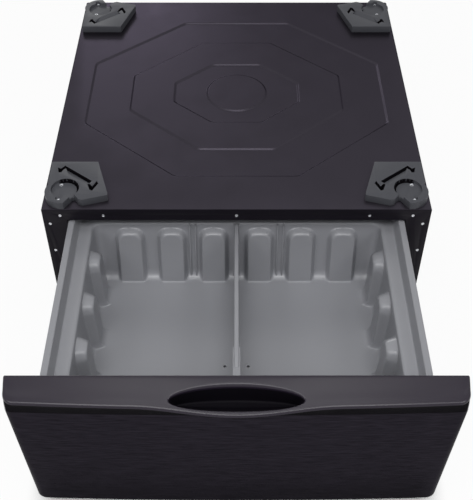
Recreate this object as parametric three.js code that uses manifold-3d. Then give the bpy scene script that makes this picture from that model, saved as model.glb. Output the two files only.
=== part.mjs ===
// Laundry pedestal with one deep storage drawer, drawn out to the end of its travel.
// Millimetres, +Z up, the front faces -Y, +X is to the right for someone facing it.
// The origin is on the floor, under the middle of the pedestal with its drawer drawn out.
import * as THREE from "three";
import { mergeVertices } from "three/addons/utils/BufferGeometryUtils.js";
import Module from "manifold-3d";

// ---------------------------------------------------------------- driving dimensions
const FIT = 0.3; // gap between two pieces that meet or slide
const PAST = 1; // how far a cutter reaches past what it cuts

// Cabinet
const CABINET_WIDTH = 686;
const CABINET_DEPTH = 678;
const DECK_HEIGHT = 361; // top of the deck above the floor
const DECK_SHEET = 1.5;
const DECK_SKIRT = 18; // how far the deck folds down over the sides and the back
const PANEL_SHEET = 1;
const PANEL_FLANGE = 15;
const PANEL_BOTTOM = 22; // lower edge of the sides and the back above the floor
const FRAME_SHEET = 1.5;
const FRAME_STILE = 42.5;
const FRAME_TOP_RAIL = 26.6;
const FRAME_BOTTOM_RAIL = 38;
const FRAME_RETURN = 20; // folded edge round the drawer opening
const BASE_SHEET = 2;
const BASE_LEG = 45;
const BASE_UPSTAND = 30;
const BRACE_SHEET = 1.5;
const BRACE_WIDTH = 60;
const BRACE_HEIGHT = 18;
const BRACE_CROWN = 30;
const BRACE_PLACES = { front: 190, rear: 490 }; // behind the front of the cabinet

// Pressed steps of the deck: three octagons and a circle, all about one centre
const PRESSING_CENTRE = 339; // behind the front of the cabinet
const PRESSING_STEP = 2.5;
const PRESSING_SLOPE = 5;
const OUTER_OCTAGON = { halfX: 296.5, halfY: 254, endHalf: 113.7, sideHalf: 99.6 };
const MIDDLE_OCTAGON = { halfX: 212.7, halfY: 178.3, endHalf: 73, sideHalf: 58.5 };
const INNER_OCTAGON = { halfX: 127, halfY: 98, endHalf: 49.5, sideHalf: 32 };
const CIRCLE_RADIUS = 62;

// Foot brackets on the deck corners, measured from the side edge and from the lobe's end
const BRACKET_HEIGHT = 15;
const BRACKET_STEP = 6; // depth of the pocket under the top
const BRACKET_SLOT_FLOOR = 3; // material left under the deep slots
const BRACKET_SIDE = 6.5; // straight outer edge of the bracket from the side of the deck
const BRACKET_LENGTH = 109;
const BRACKET_SHORT_WIDTH = 84;
const BRACKET_WIDTH = 109;
const BRACKET_FRONT_RISE = 8.5; // front edge of the body behind the lobe's end
const SIDE_NOTCH = 55;
const SIDE_NOTCH_SLANT = 4;
const FRONT_NOTCH = { x: 53, y: 21, width: 5 };
const FRONT_CORNER = 2; // slant of the body's front corner beside the notch
const LOBE_CENTRE = { x: 36, y: 32 };
const LOBE_RADIUS = 32;
const LOBE_NECK = 0.13; // turn of the lobe past its foremost point, in radians
const POCKET_CENTRE = { x: 39, y: 38 };
const POCKET_RADIUS = 25;
const POCKET_SLOT_WIDTH = 4.5;
const POCKET_SLOT_START = -0.2; // turn about the pocket's centre, in radians
const POCKET_SLOT_END = 2.15;
const RAMP_DEPTH = 4;
const REAR_BRACKET_INSET = 15; // lobe of a rear bracket from the back of the deck
const BRACKET_SCREWS = [{ x: 30.5, y: 13 }, { x: 30.3, y: 52 }];

// Screws
const SCREW_HEAD_RADIUS = 3.4;
const SCREW_HEAD_HEIGHT = 1.6;
const SCREW_CROWN = 0.75; // radius of the head's flat top as a share of the head's
const SCREW_SHANK_RADIUS = 1.9;
const SCREW_RECESS_GAP = 2; // clear ring round a head that sits in a recess
const SCREW_LENGTH = 7;
const BRACKET_SCREW_LENGTH = 14;
const FRAME_SCREW_DROP = 15; // top row of frame screws under the deck
const FRAME_SCREW_INNER = 235;
const FRAME_SCREW_EDGE = 31.5; // outer screw of the top row from the side of the cabinet
const STILE_SCREW_EDGE = 11.5;
const STILE_SCREW_DROP = 35.5;
const STILE_SCREW_PITCH = 68.2;
const STILE_SCREW_COUNT = 4;

// Levelling feet
const FOOT_PAD_RADIUS = 20;
const FOOT_PAD_HEIGHT = 7;
const FOOT_EDGE = 1; // chamfer of the pad's lower edge and of the stud's end
const FOOT_SLOPE = { width: 4, height: 3 }; // slanted top of the pad
const FOOT_STUD_RADIUS = 5;
const FOOT_STUD_TOP = 58;
const FOOT_COLLAR_RADIUS = 9;
const FOOT_COLLAR_HEIGHT = 8;
const FOOT_INSET = 26; // foot centre from the edges of the base
const NUT_ACROSS_FLATS = 17;
const NUT_HEIGHT = 8;

// Telescopic slides
const SLIDE_LENGTH = 400;
const SLIDE_HEIGHT = 45;
const SLIDE_SHEET = 1.4;
const SLIDE_WIDTH = 12.7;
const SLIDE_DROP = 121.5; // middle of the slides under the deck
const SLIDE_SETBACK = 2; // front end of the closed slide behind the front of the cabinet
const SLIDE_SIDE_GAP = 1.3; // slide to the edge of the drawer opening
const SLIDE_LIP = 3.2;
const SLIDE_BALL_GAP = 0.4;
const MID_FLANGE = 5;
const INNER_FLANGE = 7;
const MOUNT_SHEET = 1.5;
const MOUNT_HEIGHT = 62;

// Drawer and its travel
const DRAWER_TRAVEL = 350;
const CLOSED_GAP = 2.3; // drawer front to the frame when shut
const BUMPER_RADIUS = 5;
const BUMPER_EDGE = 23;
const BUMPER_DROP = 71; // under the deck
const CARRIER_SHEET = 1.5;
const CARRIER_FOOT = 10;

// Tub: a moulding with drafted walls, hollow ribs and a rim that hangs on the carriers
const TUB_LENGTH = 410;
const TUB_SIDE_GAP = 1.5; // rim to the edge of the drawer opening
const TUB_FRONT_GAP = 6.4; // rim to the back of the drawer front
const TUB_WALL = 3;
const RIM_DROP = 32; // rim under the deck
const RIM_STRIP = 13;
const RIM_RADIUS = 22;
const LEDGE_DROP = 28; // ledge under the rim
const LEDGE_WIDTH = 25.5; // at the sides and the back
const FRONT_LEDGE_WIDTH = 12.6;
const WALL_DEPTH = 122; // floor under the ledge
const WALL_DRAFT_SIDE = 5.5;
const WALL_DRAFT_END = 26;
const WALL_RADIUS_TOP = 14;
const WALL_RADIUS_FLOOR = 20;
const FLOOR_FILLET = 9;
const RIB_DROP = 11; // top of the ribs under the ledge
const RIB_SHOULDER = { drop: 8, depth: 0.6 }; // slanted front of a rib's top
const RIB_FLANK = 3;
const RIB_EDGE = 0.88; // share of a rib's depth where its flank turns into its top
const RIB_STAND = { side: 16, end: 4 }; // ribs ahead of the wall at the floor
const RIB_DRAFT = { side: 3, end: 18 }; // lean of the ribs' own faces over the depth
const SIDE_RIB_WIDTH = 44;
const SIDE_WEB_WIDTH = 52;
const END_RIB_WIDTH = 48;
const END_WEB_WIDTH = 28.6;
const DIVIDER_WEB_WIDTH = 36;
const GUIDE_THICKNESS = 2;
const GUIDE_STAND = 5;
const DRAIN_RADIUS = 2.5;
const DRAIN_OFFSET = { x: 20.3, y: 56 };

// Divider
const DIVIDER_THICKNESS = 7.5;
const SLEEVE_WALL = 2;
const SLEEVE_START = 105.5; // ahead of the middle of the tub's walls
const DIVIDER_END = 144.5;
const DIVIDER_BOTTOM_GAP = 2;

// Drawer front
const FRONT_TOP_RISE = 3; // back edge of the cap over the deck
const CROWN_RISE = 0.6; // highest line of the cap over its back edge
const FRONT_BOTTOM = 14; // lower edge above the floor
const FACE_TOP_DROP = 35; // upper edge of the face under the deck
const FACE_REACH_TOP = 42; // face ahead of the back of the drawer front
const FACE_REACH_BOTTOM = 16.5;
const FACE_BOW = 5.7;
const FACE_SIDE_TOP = 30;
const FACE_SIDE_BOTTOM = 3;
const FACE_CORNER = 13;
const FACE_SHEET = 1;
const FACE_FLANGE = 16;
const FACE_BOTTOM_FLANGE = 12;
const FACE_BOTTOM_RADIUS = 12;
const BACKING_SHEET = 1.2;
const BACKING_STEP = 2.5;
const BACKING_SIDE_MARGIN = 75;
const BACKING_END_MARGIN = 40;
const CAP_WALL = 2.5;
const LIP_REACH = 50.5;
const LIP_BOW = 3.9;
const LIP_SWELL = 13.5; // forward swell of the lip round the finger pocket
const LIP_SWELL_LENGTH = 310;
const LIP_RADIUS = 20;
const LIP_DROP = 12;
const LIP_TIP_DROP = 1.5; // foremost edge of the lip under its top
const LIP_UNDER = { back: 1.5, drop: 4 }; // lower edge of the lip, from its tip and its top
const UNDERCUT = { share: 0.4, drop: 11 }; // deepest bend under the lip, from the face to the tip
const POCKET_HALF_LENGTH = 98.6;
const POCKET_HALF_DEPTH = 18.75;
const POCKET_REACH = 39.25;
const POCKET_CURVE = 1.75;
const POCKET_FULLNESS = 2.4; // power of the pocket's outline, where 2 is an ellipse
const POCKET_DEPTH = 30; // floor of the finger pocket under the deck
const CUP_WALL = 2;
const CUP_FLOOR_REACH = 29;
const CUP_FLOOR_HALF = 7;
const CUP_END_DRAFT = 9;

// ---------------------------------------------------------------- places worked out from them
const halfWidth = CABINET_WIDTH / 2;
const openingHalf = halfWidth - FRAME_STILE;
const openingTop = DECK_HEIGHT - FRAME_TOP_RAIL;
const openingBottom = PANEL_BOTTOM + FRAME_BOTTOM_RAIL;
const deckUnderside = DECK_HEIGHT - DECK_SHEET;
const panelTop = deckUnderside - FIT;
const sideOuter = halfWidth - DECK_SHEET - FIT;
const sideInner = sideOuter - PANEL_SHEET;
const insideHalf = sideInner - FIT;
const frameBack = FRAME_SHEET + FIT;
const backOuter = CABINET_DEPTH - DECK_SHEET - FIT;
const backInner = backOuter - PANEL_SHEET;
const sideBack = backInner - FIT;
const baseBottom = PANEL_BOTTOM + PANEL_SHEET + FIT;
const baseTop = baseBottom + BASE_SHEET;
const slideOuterX = openingHalf - SLIDE_SIDE_GAP;
const slideInnerX = slideOuterX - SLIDE_WIDTH;
const slideMiddle = DECK_HEIGHT - SLIDE_DROP;
const carrierOuterX = slideInnerX - FIT;
const rimTop = DECK_HEIGHT - RIM_DROP;
const ledgeTop = rimTop - LEDGE_DROP;
const floorTop = ledgeTop - WALL_DEPTH;
const ribTop = ledgeTop - RIB_DROP;
const rimHalfX = openingHalf - TUB_SIDE_GAP;
const rimHalfY = TUB_LENGTH / 2;
const wallHalfX = rimHalfX - RIM_STRIP - LEDGE_WIDTH;
const wallHalfY = rimHalfY - RIM_STRIP - (LEDGE_WIDTH + FRONT_LEDGE_WIDTH) / 2;
const rimShift = (LEDGE_WIDTH - FRONT_LEDGE_WIDTH) / 2; // rim behind the middle of the walls
const tubCentreY = TUB_FRONT_GAP + rimHalfY - rimShift; // middle of the tub's walls
const faceTop = DECK_HEIGHT - FACE_TOP_DROP;
const capBottom = faceTop + FIT;
const drawerOpenY = CLOSED_GAP + DRAWER_TRAVEL;
const lipMost = LIP_REACH + LIP_SWELL;
const cabinetFrontY = (drawerOpenY + lipMost - CABINET_DEPTH) / 2;

// ---------------------------------------------------------------- materials
function paint(colour, roughness, metalness) {
  return new THREE.MeshStandardMaterial({ color: colour, roughness, metalness });
}
const deckPaint = paint(0x4f4c54, 0.45, 0.3);
const framePaint = paint(0x17141b, 0.5, 0.2);
const brushedSteel = paint(0x3a373e, 0.38, 0.8);
const capPlastic = paint(0x49464d, 0.45, 0);
const pocketPlastic = paint(0x151219, 0.5, 0);
const bracketPlastic = paint(0x707177, 0.55, 0);
const tubPlastic = paint(0x87888d, 0.5, 0);
const zincSteel = paint(0xc4c6ca, 0.3, 0.9);
const galvanised = paint(0x8d9095, 0.45, 0.7);
const rubber = paint(0x1c1c1e, 0.8, 0);

// ---------------------------------------------------------------- solids
const wasm = await Module();
wasm.setup();

// A closed geometry as a solid that can be joined and cut.
function solidOf(geometry) {
  const bare = geometry.clone();
  bare.deleteAttribute("normal");
  bare.deleteAttribute("uv");
  const merged = mergeVertices(bare, 1e-4);
  const mesh = new wasm.Mesh({
    numProp: 3,
    vertProperties: merged.attributes.position.array,
    triVerts: new Uint32Array(merged.index.array),
  });
  return new wasm.Manifold(mesh);
}

function geometryOf(solid) {
  const mesh = solid.getMesh();
  const geometry = new THREE.BufferGeometry();
  geometry.setAttribute("position", new THREE.BufferAttribute(mesh.vertProperties, 3));
  geometry.setIndex(new THREE.BufferAttribute(mesh.triVerts, 1));
  return geometry;
}

function box(x0, x1, y0, y1, z0, z1) {
  const geometry = new THREE.BoxGeometry(x1 - x0, y1 - y0, z1 - z0);
  geometry.translate((x0 + x1) / 2, (y0 + y1) / 2, (z0 + z1) / 2);
  return solidOf(geometry);
}

function cylinder(radius, x, y, z0, z1, sides) {
  const geometry = new THREE.CylinderGeometry(radius, radius, z1 - z0, sides);
  geometry.rotateX(Math.PI / 2);
  geometry.translate(x, y, (z0 + z1) / 2);
  return solidOf(geometry);
}

// A shape in X and Y, raised from z0 to z1.
function slab(shape, z0, z1, curveSegments = 8) {
  const geometry = new THREE.ExtrudeGeometry(shape, {
    depth: z1 - z0,
    bevelEnabled: false,
    curveSegments,
  });
  geometry.translate(0, 0, z0);
  return solidOf(geometry);
}

// A shape in Y and Z, run along X from x0 to x1.
const acrossX = new THREE.Matrix4().makeBasis(
  new THREE.Vector3(0, 1, 0),
  new THREE.Vector3(0, 0, 1),
  new THREE.Vector3(1, 0, 0),
);
function alongX(shape, x0, x1) {
  const geometry = new THREE.ExtrudeGeometry(shape, { depth: x1 - x0, bevelEnabled: false });
  geometry.applyMatrix4(acrossX);
  geometry.translate(x0, 0, 0);
  return solidOf(geometry);
}

// A shape in X and Z, run along Y from y0 to y1.
const acrossY = new THREE.Matrix4().makeBasis(
  new THREE.Vector3(1, 0, 0),
  new THREE.Vector3(0, 0, 1),
  new THREE.Vector3(0, -1, 0),
);
function alongY(shape, y0, y1) {
  const geometry = new THREE.ExtrudeGeometry(shape, {
    depth: y1 - y0,
    bevelEnabled: false,
    curveSegments: 6,
  });
  geometry.applyMatrix4(acrossY);
  geometry.translate(0, y1, 0);
  return solidOf(geometry);
}

function polygon(points) {
  return new THREE.Shape(points.map(([u, v]) => new THREE.Vector2(u, v)));
}

function unite(solids) {
  return solids.reduce((whole, piece) => whole.add(piece));
}

function cut(solid, cutters) {
  return cutters.reduce((whole, cutter) => whole.subtract(cutter), solid);
}

// Triangles gathered ring by ring into one closed surface. A ring is a list of points that runs
// counter-clockwise seen from the side that its surface faces.
class Surface {
  constructor() {
    this.positions = [];
  }

  triangle(a, b, c) {
    if (a.equals(b) || b.equals(c) || c.equals(a)) return;
    this.positions.push(...a, ...b, ...c);
  }

  // The band between two rings of as many points each.
  band(lower, upper) {
    lower.forEach((point, i) => {
      const next = (i + 1) % lower.length;
      this.triangle(point, lower[next], upper[next]);
      this.triangle(point, upper[next], upper[i]);
    });
  }

  // A level face inside one ring, and round another where that is given.
  face(outline, hole, up) {
    const flat = (ring) => ring.map((point) => new THREE.Vector2(point.x, point.y));
    const points = hole ? [...outline, ...hole] : outline;
    const faces = THREE.ShapeUtils.triangulateShape(flat(outline), hole ? [flat(hole)] : []);
    for (const [i, j, k] of faces) {
      const [a, b, c] = [points[i], points[j], points[k]];
      const turn = (b.x - a.x) * (c.y - a.y) - (b.y - a.y) * (c.x - a.x);
      if (turn > 0 === up) this.triangle(a, b, c);
      else this.triangle(a, c, b);
    }
  }

  solid(basis = new THREE.Matrix4()) {
    const geometry = new THREE.BufferGeometry();
    geometry.setAttribute("position", new THREE.Float32BufferAttribute(this.positions, 3));
    geometry.applyMatrix4(basis);
    return solidOf(geometry);
  }
}

// A body through a stack of rings, closed level at both ends and then turned by a basis.
function loft(rings, basis = new THREE.Matrix4()) {
  const surface = new Surface();
  surface.face(rings[0], null, false);
  rings.slice(1).forEach((ring, i) => surface.band(rings[i], ring));
  surface.face(rings.at(-1), null, true);
  return surface.solid(basis);
}

// A profile of [radius, height] turned about Z.
function lathe(profile, sides) {
  const geometry = new THREE.LatheGeometry(
    profile.map(([radius, height]) => new THREE.Vector2(radius, height)),
    sides,
  );
  geometry.rotateX(Math.PI / 2);
  return solidOf(geometry);
}

// Sheet metal pressed into levels: loops of points from the edge to the middle, each at a level.
function pressedSheet(loops, thickness) {
  const surface = new Surface();
  const skin = (drop) =>
    loops.map(({ points, level }) => points.map(([x, y]) => new THREE.Vector3(x, y, level - drop)));
  const upper = skin(0);
  const lower = skin(thickness);
  for (const [rings, up] of [[upper, true], [lower, false]]) {
    rings.slice(1).forEach((inner, i) => {
      const outer = rings[i];
      if (loops[i].level === loops[i + 1].level) surface.face(outer, inner, up);
      else if (up) surface.band(outer, inner);
      else surface.band(inner, outer);
    });
    surface.face(rings.at(-1), null, up);
  }
  surface.band(lower[0], upper[0]);
  return surface.solid();
}

function rectangleLoop(x0, x1, y0, y1) {
  return [[x0, y0], [x1, y0], [x1, y1], [x0, y1]];
}

// ---------------------------------------------------------------- the scene
const pedestal = new THREE.Group();
const cabinet = new THREE.Group();
cabinet.position.y = cabinetFrontY;
const drawer = new THREE.Group();
drawer.position.y = cabinetFrontY - drawerOpenY;
pedestal.add(cabinet, drawer);

function place(group, name, solid, material) {
  const mesh = new THREE.Mesh(geometryOf(solid), material);
  mesh.name = name;
  group.add(mesh);
  return mesh;
}

const SIDES = { left: -1, right: 1 };

// The same solid on the other side of the plane X = 0.
function sided(solid, side) {
  return side > 0 ? solid : solid.mirror([1, 0, 0]);
}

// ---------------------------------------------------------------- deck
function octagonLoop({ halfX, halfY, endHalf, sideHalf }, inset) {
  const lean = Math.atan2(halfY - sideHalf, halfX - endHalf);
  const x = halfX - inset;
  const y = halfY - inset;
  const end = endHalf - inset * Math.tan(lean / 2);
  const side = sideHalf - inset * Math.tan(Math.PI / 4 - lean / 2);
  const right = [[x, -side], [x, side], [end, y]];
  const left = [[-end, y], [-x, side], [-x, -side]];
  const corners = [...right, ...left, [-end, -y], [end, -y]];
  return corners.map(([px, py]) => [px, py + PRESSING_CENTRE]);
}

function circleLoop(radius) {
  const sides = 40;
  return Array.from({ length: sides }, (_, i) => {
    const angle = (i * 2 * Math.PI) / sides;
    return [radius * Math.cos(angle), PRESSING_CENTRE + radius * Math.sin(angle)];
  });
}

// Corner frames of the foot brackets: X from the side edge inwards, Y from the lobe inwards.
const bracketCorners = {
  front_left: { sideX: -1, sideY: 1 },
  front_right: { sideX: 1, sideY: 1 },
  rear_left: { sideX: -1, sideY: -1 },
  rear_right: { sideX: 1, sideY: -1 },
};

function bracketPoint({ sideX, sideY }, { x, y }) {
  const fromEdge = sideY > 0 ? y : CABINET_DEPTH - REAR_BRACKET_INSET - y;
  return { x: sideX * (halfWidth - x), y: fromEdge };
}

function makeDeck() {
  const low = DECK_HEIGHT - PRESSING_STEP;
  const sheet = pressedSheet(
    [
      { points: rectangleLoop(-halfWidth, halfWidth, 0, CABINET_DEPTH), level: DECK_HEIGHT },
      { points: octagonLoop(OUTER_OCTAGON, 0), level: DECK_HEIGHT },
      { points: octagonLoop(OUTER_OCTAGON, PRESSING_SLOPE), level: low },
      { points: octagonLoop(MIDDLE_OCTAGON, 0), level: low },
      { points: octagonLoop(MIDDLE_OCTAGON, PRESSING_SLOPE), level: DECK_HEIGHT },
      { points: octagonLoop(INNER_OCTAGON, 0), level: DECK_HEIGHT },
      { points: octagonLoop(INNER_OCTAGON, PRESSING_SLOPE), level: low },
      { points: circleLoop(CIRCLE_RADIUS), level: low },
      { points: circleLoop(CIRCLE_RADIUS - PRESSING_SLOPE), level: DECK_HEIGHT },
    ],
    DECK_SHEET,
  );
  const skirtBottom = DECK_HEIGHT - DECK_SKIRT;
  const inSheet = DECK_HEIGHT - DECK_SHEET / 2;
  const skirts = [
    box(-halfWidth, -halfWidth + DECK_SHEET, frameBack, CABINET_DEPTH, skirtBottom, inSheet),
    box(halfWidth - DECK_SHEET, halfWidth, frameBack, CABINET_DEPTH, skirtBottom, inSheet),
    box(-halfWidth, halfWidth, CABINET_DEPTH - DECK_SHEET, CABINET_DEPTH, skirtBottom, inSheet),
  ];
  const holes = Object.values(bracketCorners).flatMap((corner) =>
    BRACKET_SCREWS.map((screw) => {
      const { x, y } = bracketPoint(corner, screw);
      return cylinder(SCREW_SHANK_RADIUS + FIT, x, y, low - DECK_SHEET, DECK_HEIGHT + PAST, 8);
    }),
  );
  return cut(unite([sheet, ...skirts]), holes);
}
place(cabinet, "top_panel", makeDeck(), deckPaint);

// ---------------------------------------------------------------- sides, back, frame, base
const stileScrewHeights = Array.from({ length: STILE_SCREW_COUNT }, (_, i) => {
  return DECK_HEIGHT - STILE_SCREW_DROP - i * STILE_SCREW_PITCH;
});
const topScrewHeight = DECK_HEIGHT - FRAME_SCREW_DROP;
const frameScrewPlaces = [
  { x: 0, z: topScrewHeight },
  ...Object.values(SIDES).flatMap((side) => [
    { x: side * FRAME_SCREW_INNER, z: topScrewHeight },
    { x: side * (halfWidth - FRAME_SCREW_EDGE), z: topScrewHeight },
    ...stileScrewHeights.map((z) => ({ x: side * (halfWidth - STILE_SCREW_EDGE), z })),
  ]),
];

// A hole for a frame screw's shank, from the front of the cabinet to a depth.
function frameScrewHole(x, z, depth) {
  const hole = cylinder(SCREW_SHANK_RADIUS + FIT, 0, 0, -depth - PAST, PAST, 8);
  return hole.rotate([90, 0, 0]).translate([x, 0, z]);
}

// A folded tray: a plate with flanges that all point the same way.
function makeSidePanel() {
  const outer = box(sideOuter - PANEL_FLANGE, sideOuter, frameBack, sideBack, PANEL_BOTTOM, panelTop);
  const hollow = box(
    sideOuter - PANEL_FLANGE - PAST,
    sideInner,
    frameBack + PANEL_SHEET,
    sideBack - PANEL_SHEET,
    PANEL_BOTTOM + PANEL_SHEET,
    panelTop - PANEL_SHEET,
  );
  const holes = stileScrewHeights.map((z) => {
    return frameScrewHole(halfWidth - STILE_SCREW_EDGE, z, frameBack + PANEL_SHEET);
  });
  return cut(outer, [hollow, ...holes]);
}

function makeBackPanel() {
  const plate = box(-sideOuter, sideOuter, backInner, backOuter, PANEL_BOTTOM, panelTop);
  const reach = sideInner - PANEL_FLANGE;
  const y0 = backInner - PANEL_FLANGE;
  const y1 = backInner + PANEL_SHEET / 2;
  const lowerFlange = box(-reach, reach, y0, y1, PANEL_BOTTOM, PANEL_BOTTOM + PANEL_SHEET);
  const upperFlange = box(-reach, reach, y0, y1, panelTop - PANEL_SHEET, panelTop);
  return unite([plate, lowerFlange, upperFlange]);
}

function makeFrontFrame() {
  const plate = box(-halfWidth, halfWidth, 0, FRAME_SHEET, PANEL_BOTTOM, panelTop);
  const collar = box(
    -openingHalf - FRAME_SHEET,
    openingHalf + FRAME_SHEET,
    FRAME_SHEET / 2,
    FRAME_SHEET + FRAME_RETURN,
    openingBottom - FRAME_SHEET,
    openingTop + FRAME_SHEET,
  );
  const through = FRAME_SHEET + FRAME_RETURN + PAST;
  const opening = box(-openingHalf, openingHalf, -PAST, through, openingBottom, openingTop);
  const holes = frameScrewPlaces.map(({ x, z }) => frameScrewHole(x, z, FRAME_SHEET));
  return cut(plate.add(collar), [opening, ...holes]);
}

function makeBaseFrame() {
  const y0 = frameBack + PANEL_SHEET + FIT;
  const y1 = sideBack - PANEL_SHEET - FIT;
  const outer = box(-insideHalf, insideHalf, y0, y1, baseBottom, baseBottom + BASE_UPSTAND);
  const well = box(
    -insideHalf + BASE_SHEET,
    insideHalf - BASE_SHEET,
    y0 + BASE_SHEET,
    y1 - BASE_SHEET,
    baseTop,
    baseBottom + BASE_UPSTAND + PAST,
  );
  const opening = box(
    -insideHalf + BASE_LEG,
    insideHalf - BASE_LEG,
    y0 + BASE_LEG,
    y1 - BASE_LEG,
    baseBottom - PAST,
    baseTop + PAST,
  );
  const holes = footPlaces.map(({ x, y }) =>
    cylinder(FOOT_STUD_RADIUS + FIT, x, y, baseBottom - PAST, baseTop + PAST, 16),
  );
  return cut(outer, [well, opening, ...holes]);
}

const footPlaces = [
  { name: "front_left", x: -insideHalf + FOOT_INSET, y: frameBack + FOOT_INSET },
  { name: "front_right", x: insideHalf - FOOT_INSET, y: frameBack + FOOT_INSET },
  { name: "rear_left", x: -insideHalf + FOOT_INSET, y: sideBack - FOOT_INSET },
  { name: "rear_right", x: insideHalf - FOOT_INSET, y: sideBack - FOOT_INSET },
];

for (const [name, side] of Object.entries(SIDES)) {
  place(cabinet, `side_panel_${name}`, sided(makeSidePanel(), side), deckPaint);
}
place(cabinet, "back_panel", makeBackPanel(), deckPaint);
place(cabinet, "front_frame", makeFrontFrame(), framePaint);
place(cabinet, "base_frame", makeBaseFrame(), framePaint);

// Hat-section braces across the cabinet, under the deck.
function makeBrace(y) {
  const top = deckUnderside - PRESSING_STEP - FIT;
  const foot = top - BRACE_HEIGHT;
  const crown = BRACE_CROWN / 2;
  const edge = BRACE_WIDTH / 2;
  const knee = edge - (edge - crown) / 2;
  const t = BRACE_SHEET;
  const profile = polygon([
    [y - edge, foot],
    [y - knee, foot],
    [y - crown + t, top - t],
    [y + crown - t, top - t],
    [y + knee, foot],
    [y + edge, foot],
    [y + edge, foot + t],
    [y + knee + t / 2, foot + t],
    [y + crown, top],
    [y - crown, top],
    [y - knee - t / 2, foot + t],
    [y - edge, foot + t],
  ]);
  return alongX(profile, -insideHalf, insideHalf);
}
for (const [name, y] of Object.entries(BRACE_PLACES)) {
  place(cabinet, `deck_brace_${name}`, makeBrace(y), framePaint);
}

// ---------------------------------------------------------------- foot brackets
function bracketOutline() {
  const shape = new THREE.Shape();
  const notchY = SIDE_NOTCH - SIDE_NOTCH_SLANT;
  const sideTurn = Math.asin((notchY - LOBE_CENTRE.y) / LOBE_RADIUS);
  const frontTurn = (3 * Math.PI) / 2 + LOBE_NECK;
  const bodyFront = LOBE_CENTRE.x + LOBE_RADIUS;
  const bodyEnd = BRACKET_SIDE + BRACKET_WIDTH;
  shape.moveTo(BRACKET_SIDE, BRACKET_LENGTH);
  shape.lineTo(BRACKET_SIDE, SIDE_NOTCH);
  shape.lineTo(LOBE_CENTRE.x - LOBE_RADIUS * Math.cos(sideTurn), notchY);
  shape.absarc(LOBE_CENTRE.x, LOBE_CENTRE.y, LOBE_RADIUS, Math.PI - sideTurn, frontTurn, false);
  shape.lineTo(FRONT_NOTCH.x, FRONT_NOTCH.y);
  shape.lineTo(FRONT_NOTCH.x + FRONT_NOTCH.width, FRONT_NOTCH.y);
  shape.lineTo(bodyFront - FRONT_CORNER, BRACKET_FRONT_RISE + FRONT_CORNER);
  shape.lineTo(bodyFront + FRONT_NOTCH.width, BRACKET_FRONT_RISE);
  shape.lineTo(bodyEnd, FRONT_NOTCH.y);
  shape.lineTo(bodyEnd, FRONT_NOTCH.y + FRONT_NOTCH.width);
  shape.lineTo(BRACKET_SIDE + BRACKET_SHORT_WIDTH, BRACKET_LENGTH);
  return shape;
}

// Deep slots behind the pocket: a long one with a barb at its outer end, and a hook beyond it.
const barbedSlot = [
  [19, 93], [25, 90], [32, 98], [85, 57], [82.5, 53.5], [34, 91], [29, 86], [27, 80], [22, 80],
];
const hookSlot = [
  [78, 48], [83, 34], [88, 32], [97, 51], [93.5, 57], [87, 43], [81, 50],
];
// The ramp that falls from the top of the bracket to the long slot.
const rampHead = [[34, 91], [82.5, 53.5], [76, 46], [41, 73]];
const rampFoot = [[34, 91], [82.5, 53.5], [81.5, 52.5], [35, 88.5]];

// The slot round the back of the pocket.
function pocketSlot() {
  const { x, y } = POCKET_CENTRE;
  const shape = new THREE.Shape();
  shape.absarc(x, y, POCKET_RADIUS, POCKET_SLOT_START, POCKET_SLOT_END, false);
  shape.absarc(x, y, POCKET_RADIUS - POCKET_SLOT_WIDTH, POCKET_SLOT_END, POCKET_SLOT_START, true);
  return shape;
}

function makeBracket({ sideX, sideY }) {
  const bottom = DECK_HEIGHT + FIT;
  const top = DECK_HEIGHT + BRACKET_HEIGHT;
  const step = top - BRACKET_STEP;
  const slotFloor = bottom + BRACKET_SLOT_FLOOR;
  const level = (points, z) => points.map(([x, y]) => new THREE.Vector3(x, y, z)).reverse();
  const hollows = [
    cylinder(POCKET_RADIUS, POCKET_CENTRE.x, POCKET_CENTRE.y, step, top + PAST, 24),
    slab(pocketSlot(), slotFloor, top, 7),
    slab(polygon(barbedSlot), slotFloor, top + PAST),
    slab(polygon(hookSlot), slotFloor, top + PAST),
    loft([level(rampFoot, top - RAMP_DEPTH), level(rampHead, top), level(rampHead, top + PAST)]),
    ...BRACKET_SCREWS.flatMap(({ x, y }) => [
      cylinder(SCREW_HEAD_RADIUS + SCREW_RECESS_GAP, x, y, step, top + PAST, 10),
      cylinder(SCREW_SHANK_RADIUS + FIT, x, y, bottom - PAST, step + PAST, 6),
    ]),
  ];
  const block = cut(slab(bracketOutline(), bottom, top, 10), hollows);
  const turned = sideX > 0 ? block.mirror([1, 0, 0]) : block;
  const faced = sideY < 0 ? turned.mirror([0, 1, 0]) : turned;
  const startY = sideY < 0 ? CABINET_DEPTH - REAR_BRACKET_INSET : 0;
  return faced.translate([sideX * halfWidth, startY, 0]);
}

// A screw along Z with its head seated just above z = 0.
function makeScrew(length) {
  const r = SCREW_HEAD_RADIUS;
  const top = FIT + SCREW_HEAD_HEIGHT;
  return lathe(
    [
      [0, -length],
      [SCREW_SHANK_RADIUS, -length],
      [SCREW_SHANK_RADIUS, FIT],
      [r, FIT],
      [r * SCREW_CROWN, top],
      [0, top],
    ],
    8,
  );
}

for (const [name, corner] of Object.entries(bracketCorners)) {
  place(cabinet, `foot_bracket_${name}`, makeBracket(corner), bracketPlastic);
  BRACKET_SCREWS.forEach((screw, i) => {
    const { x, y } = bracketPoint(corner, screw);
    const screwName = `bracket_screw_${name}_${i + 1}`;
    const mesh = place(cabinet, screwName, makeScrew(BRACKET_SCREW_LENGTH), zincSteel);
    mesh.position.set(x, y, DECK_HEIGHT + BRACKET_HEIGHT - BRACKET_STEP);
  });
}

frameScrewPlaces.forEach(({ x, z }, i) => {
  const mesh = place(cabinet, `frame_screw_${i + 1}`, makeScrew(SCREW_LENGTH), zincSteel);
  mesh.rotation.x = Math.PI / 2;
  mesh.position.set(x, 0, z);
});

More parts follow.
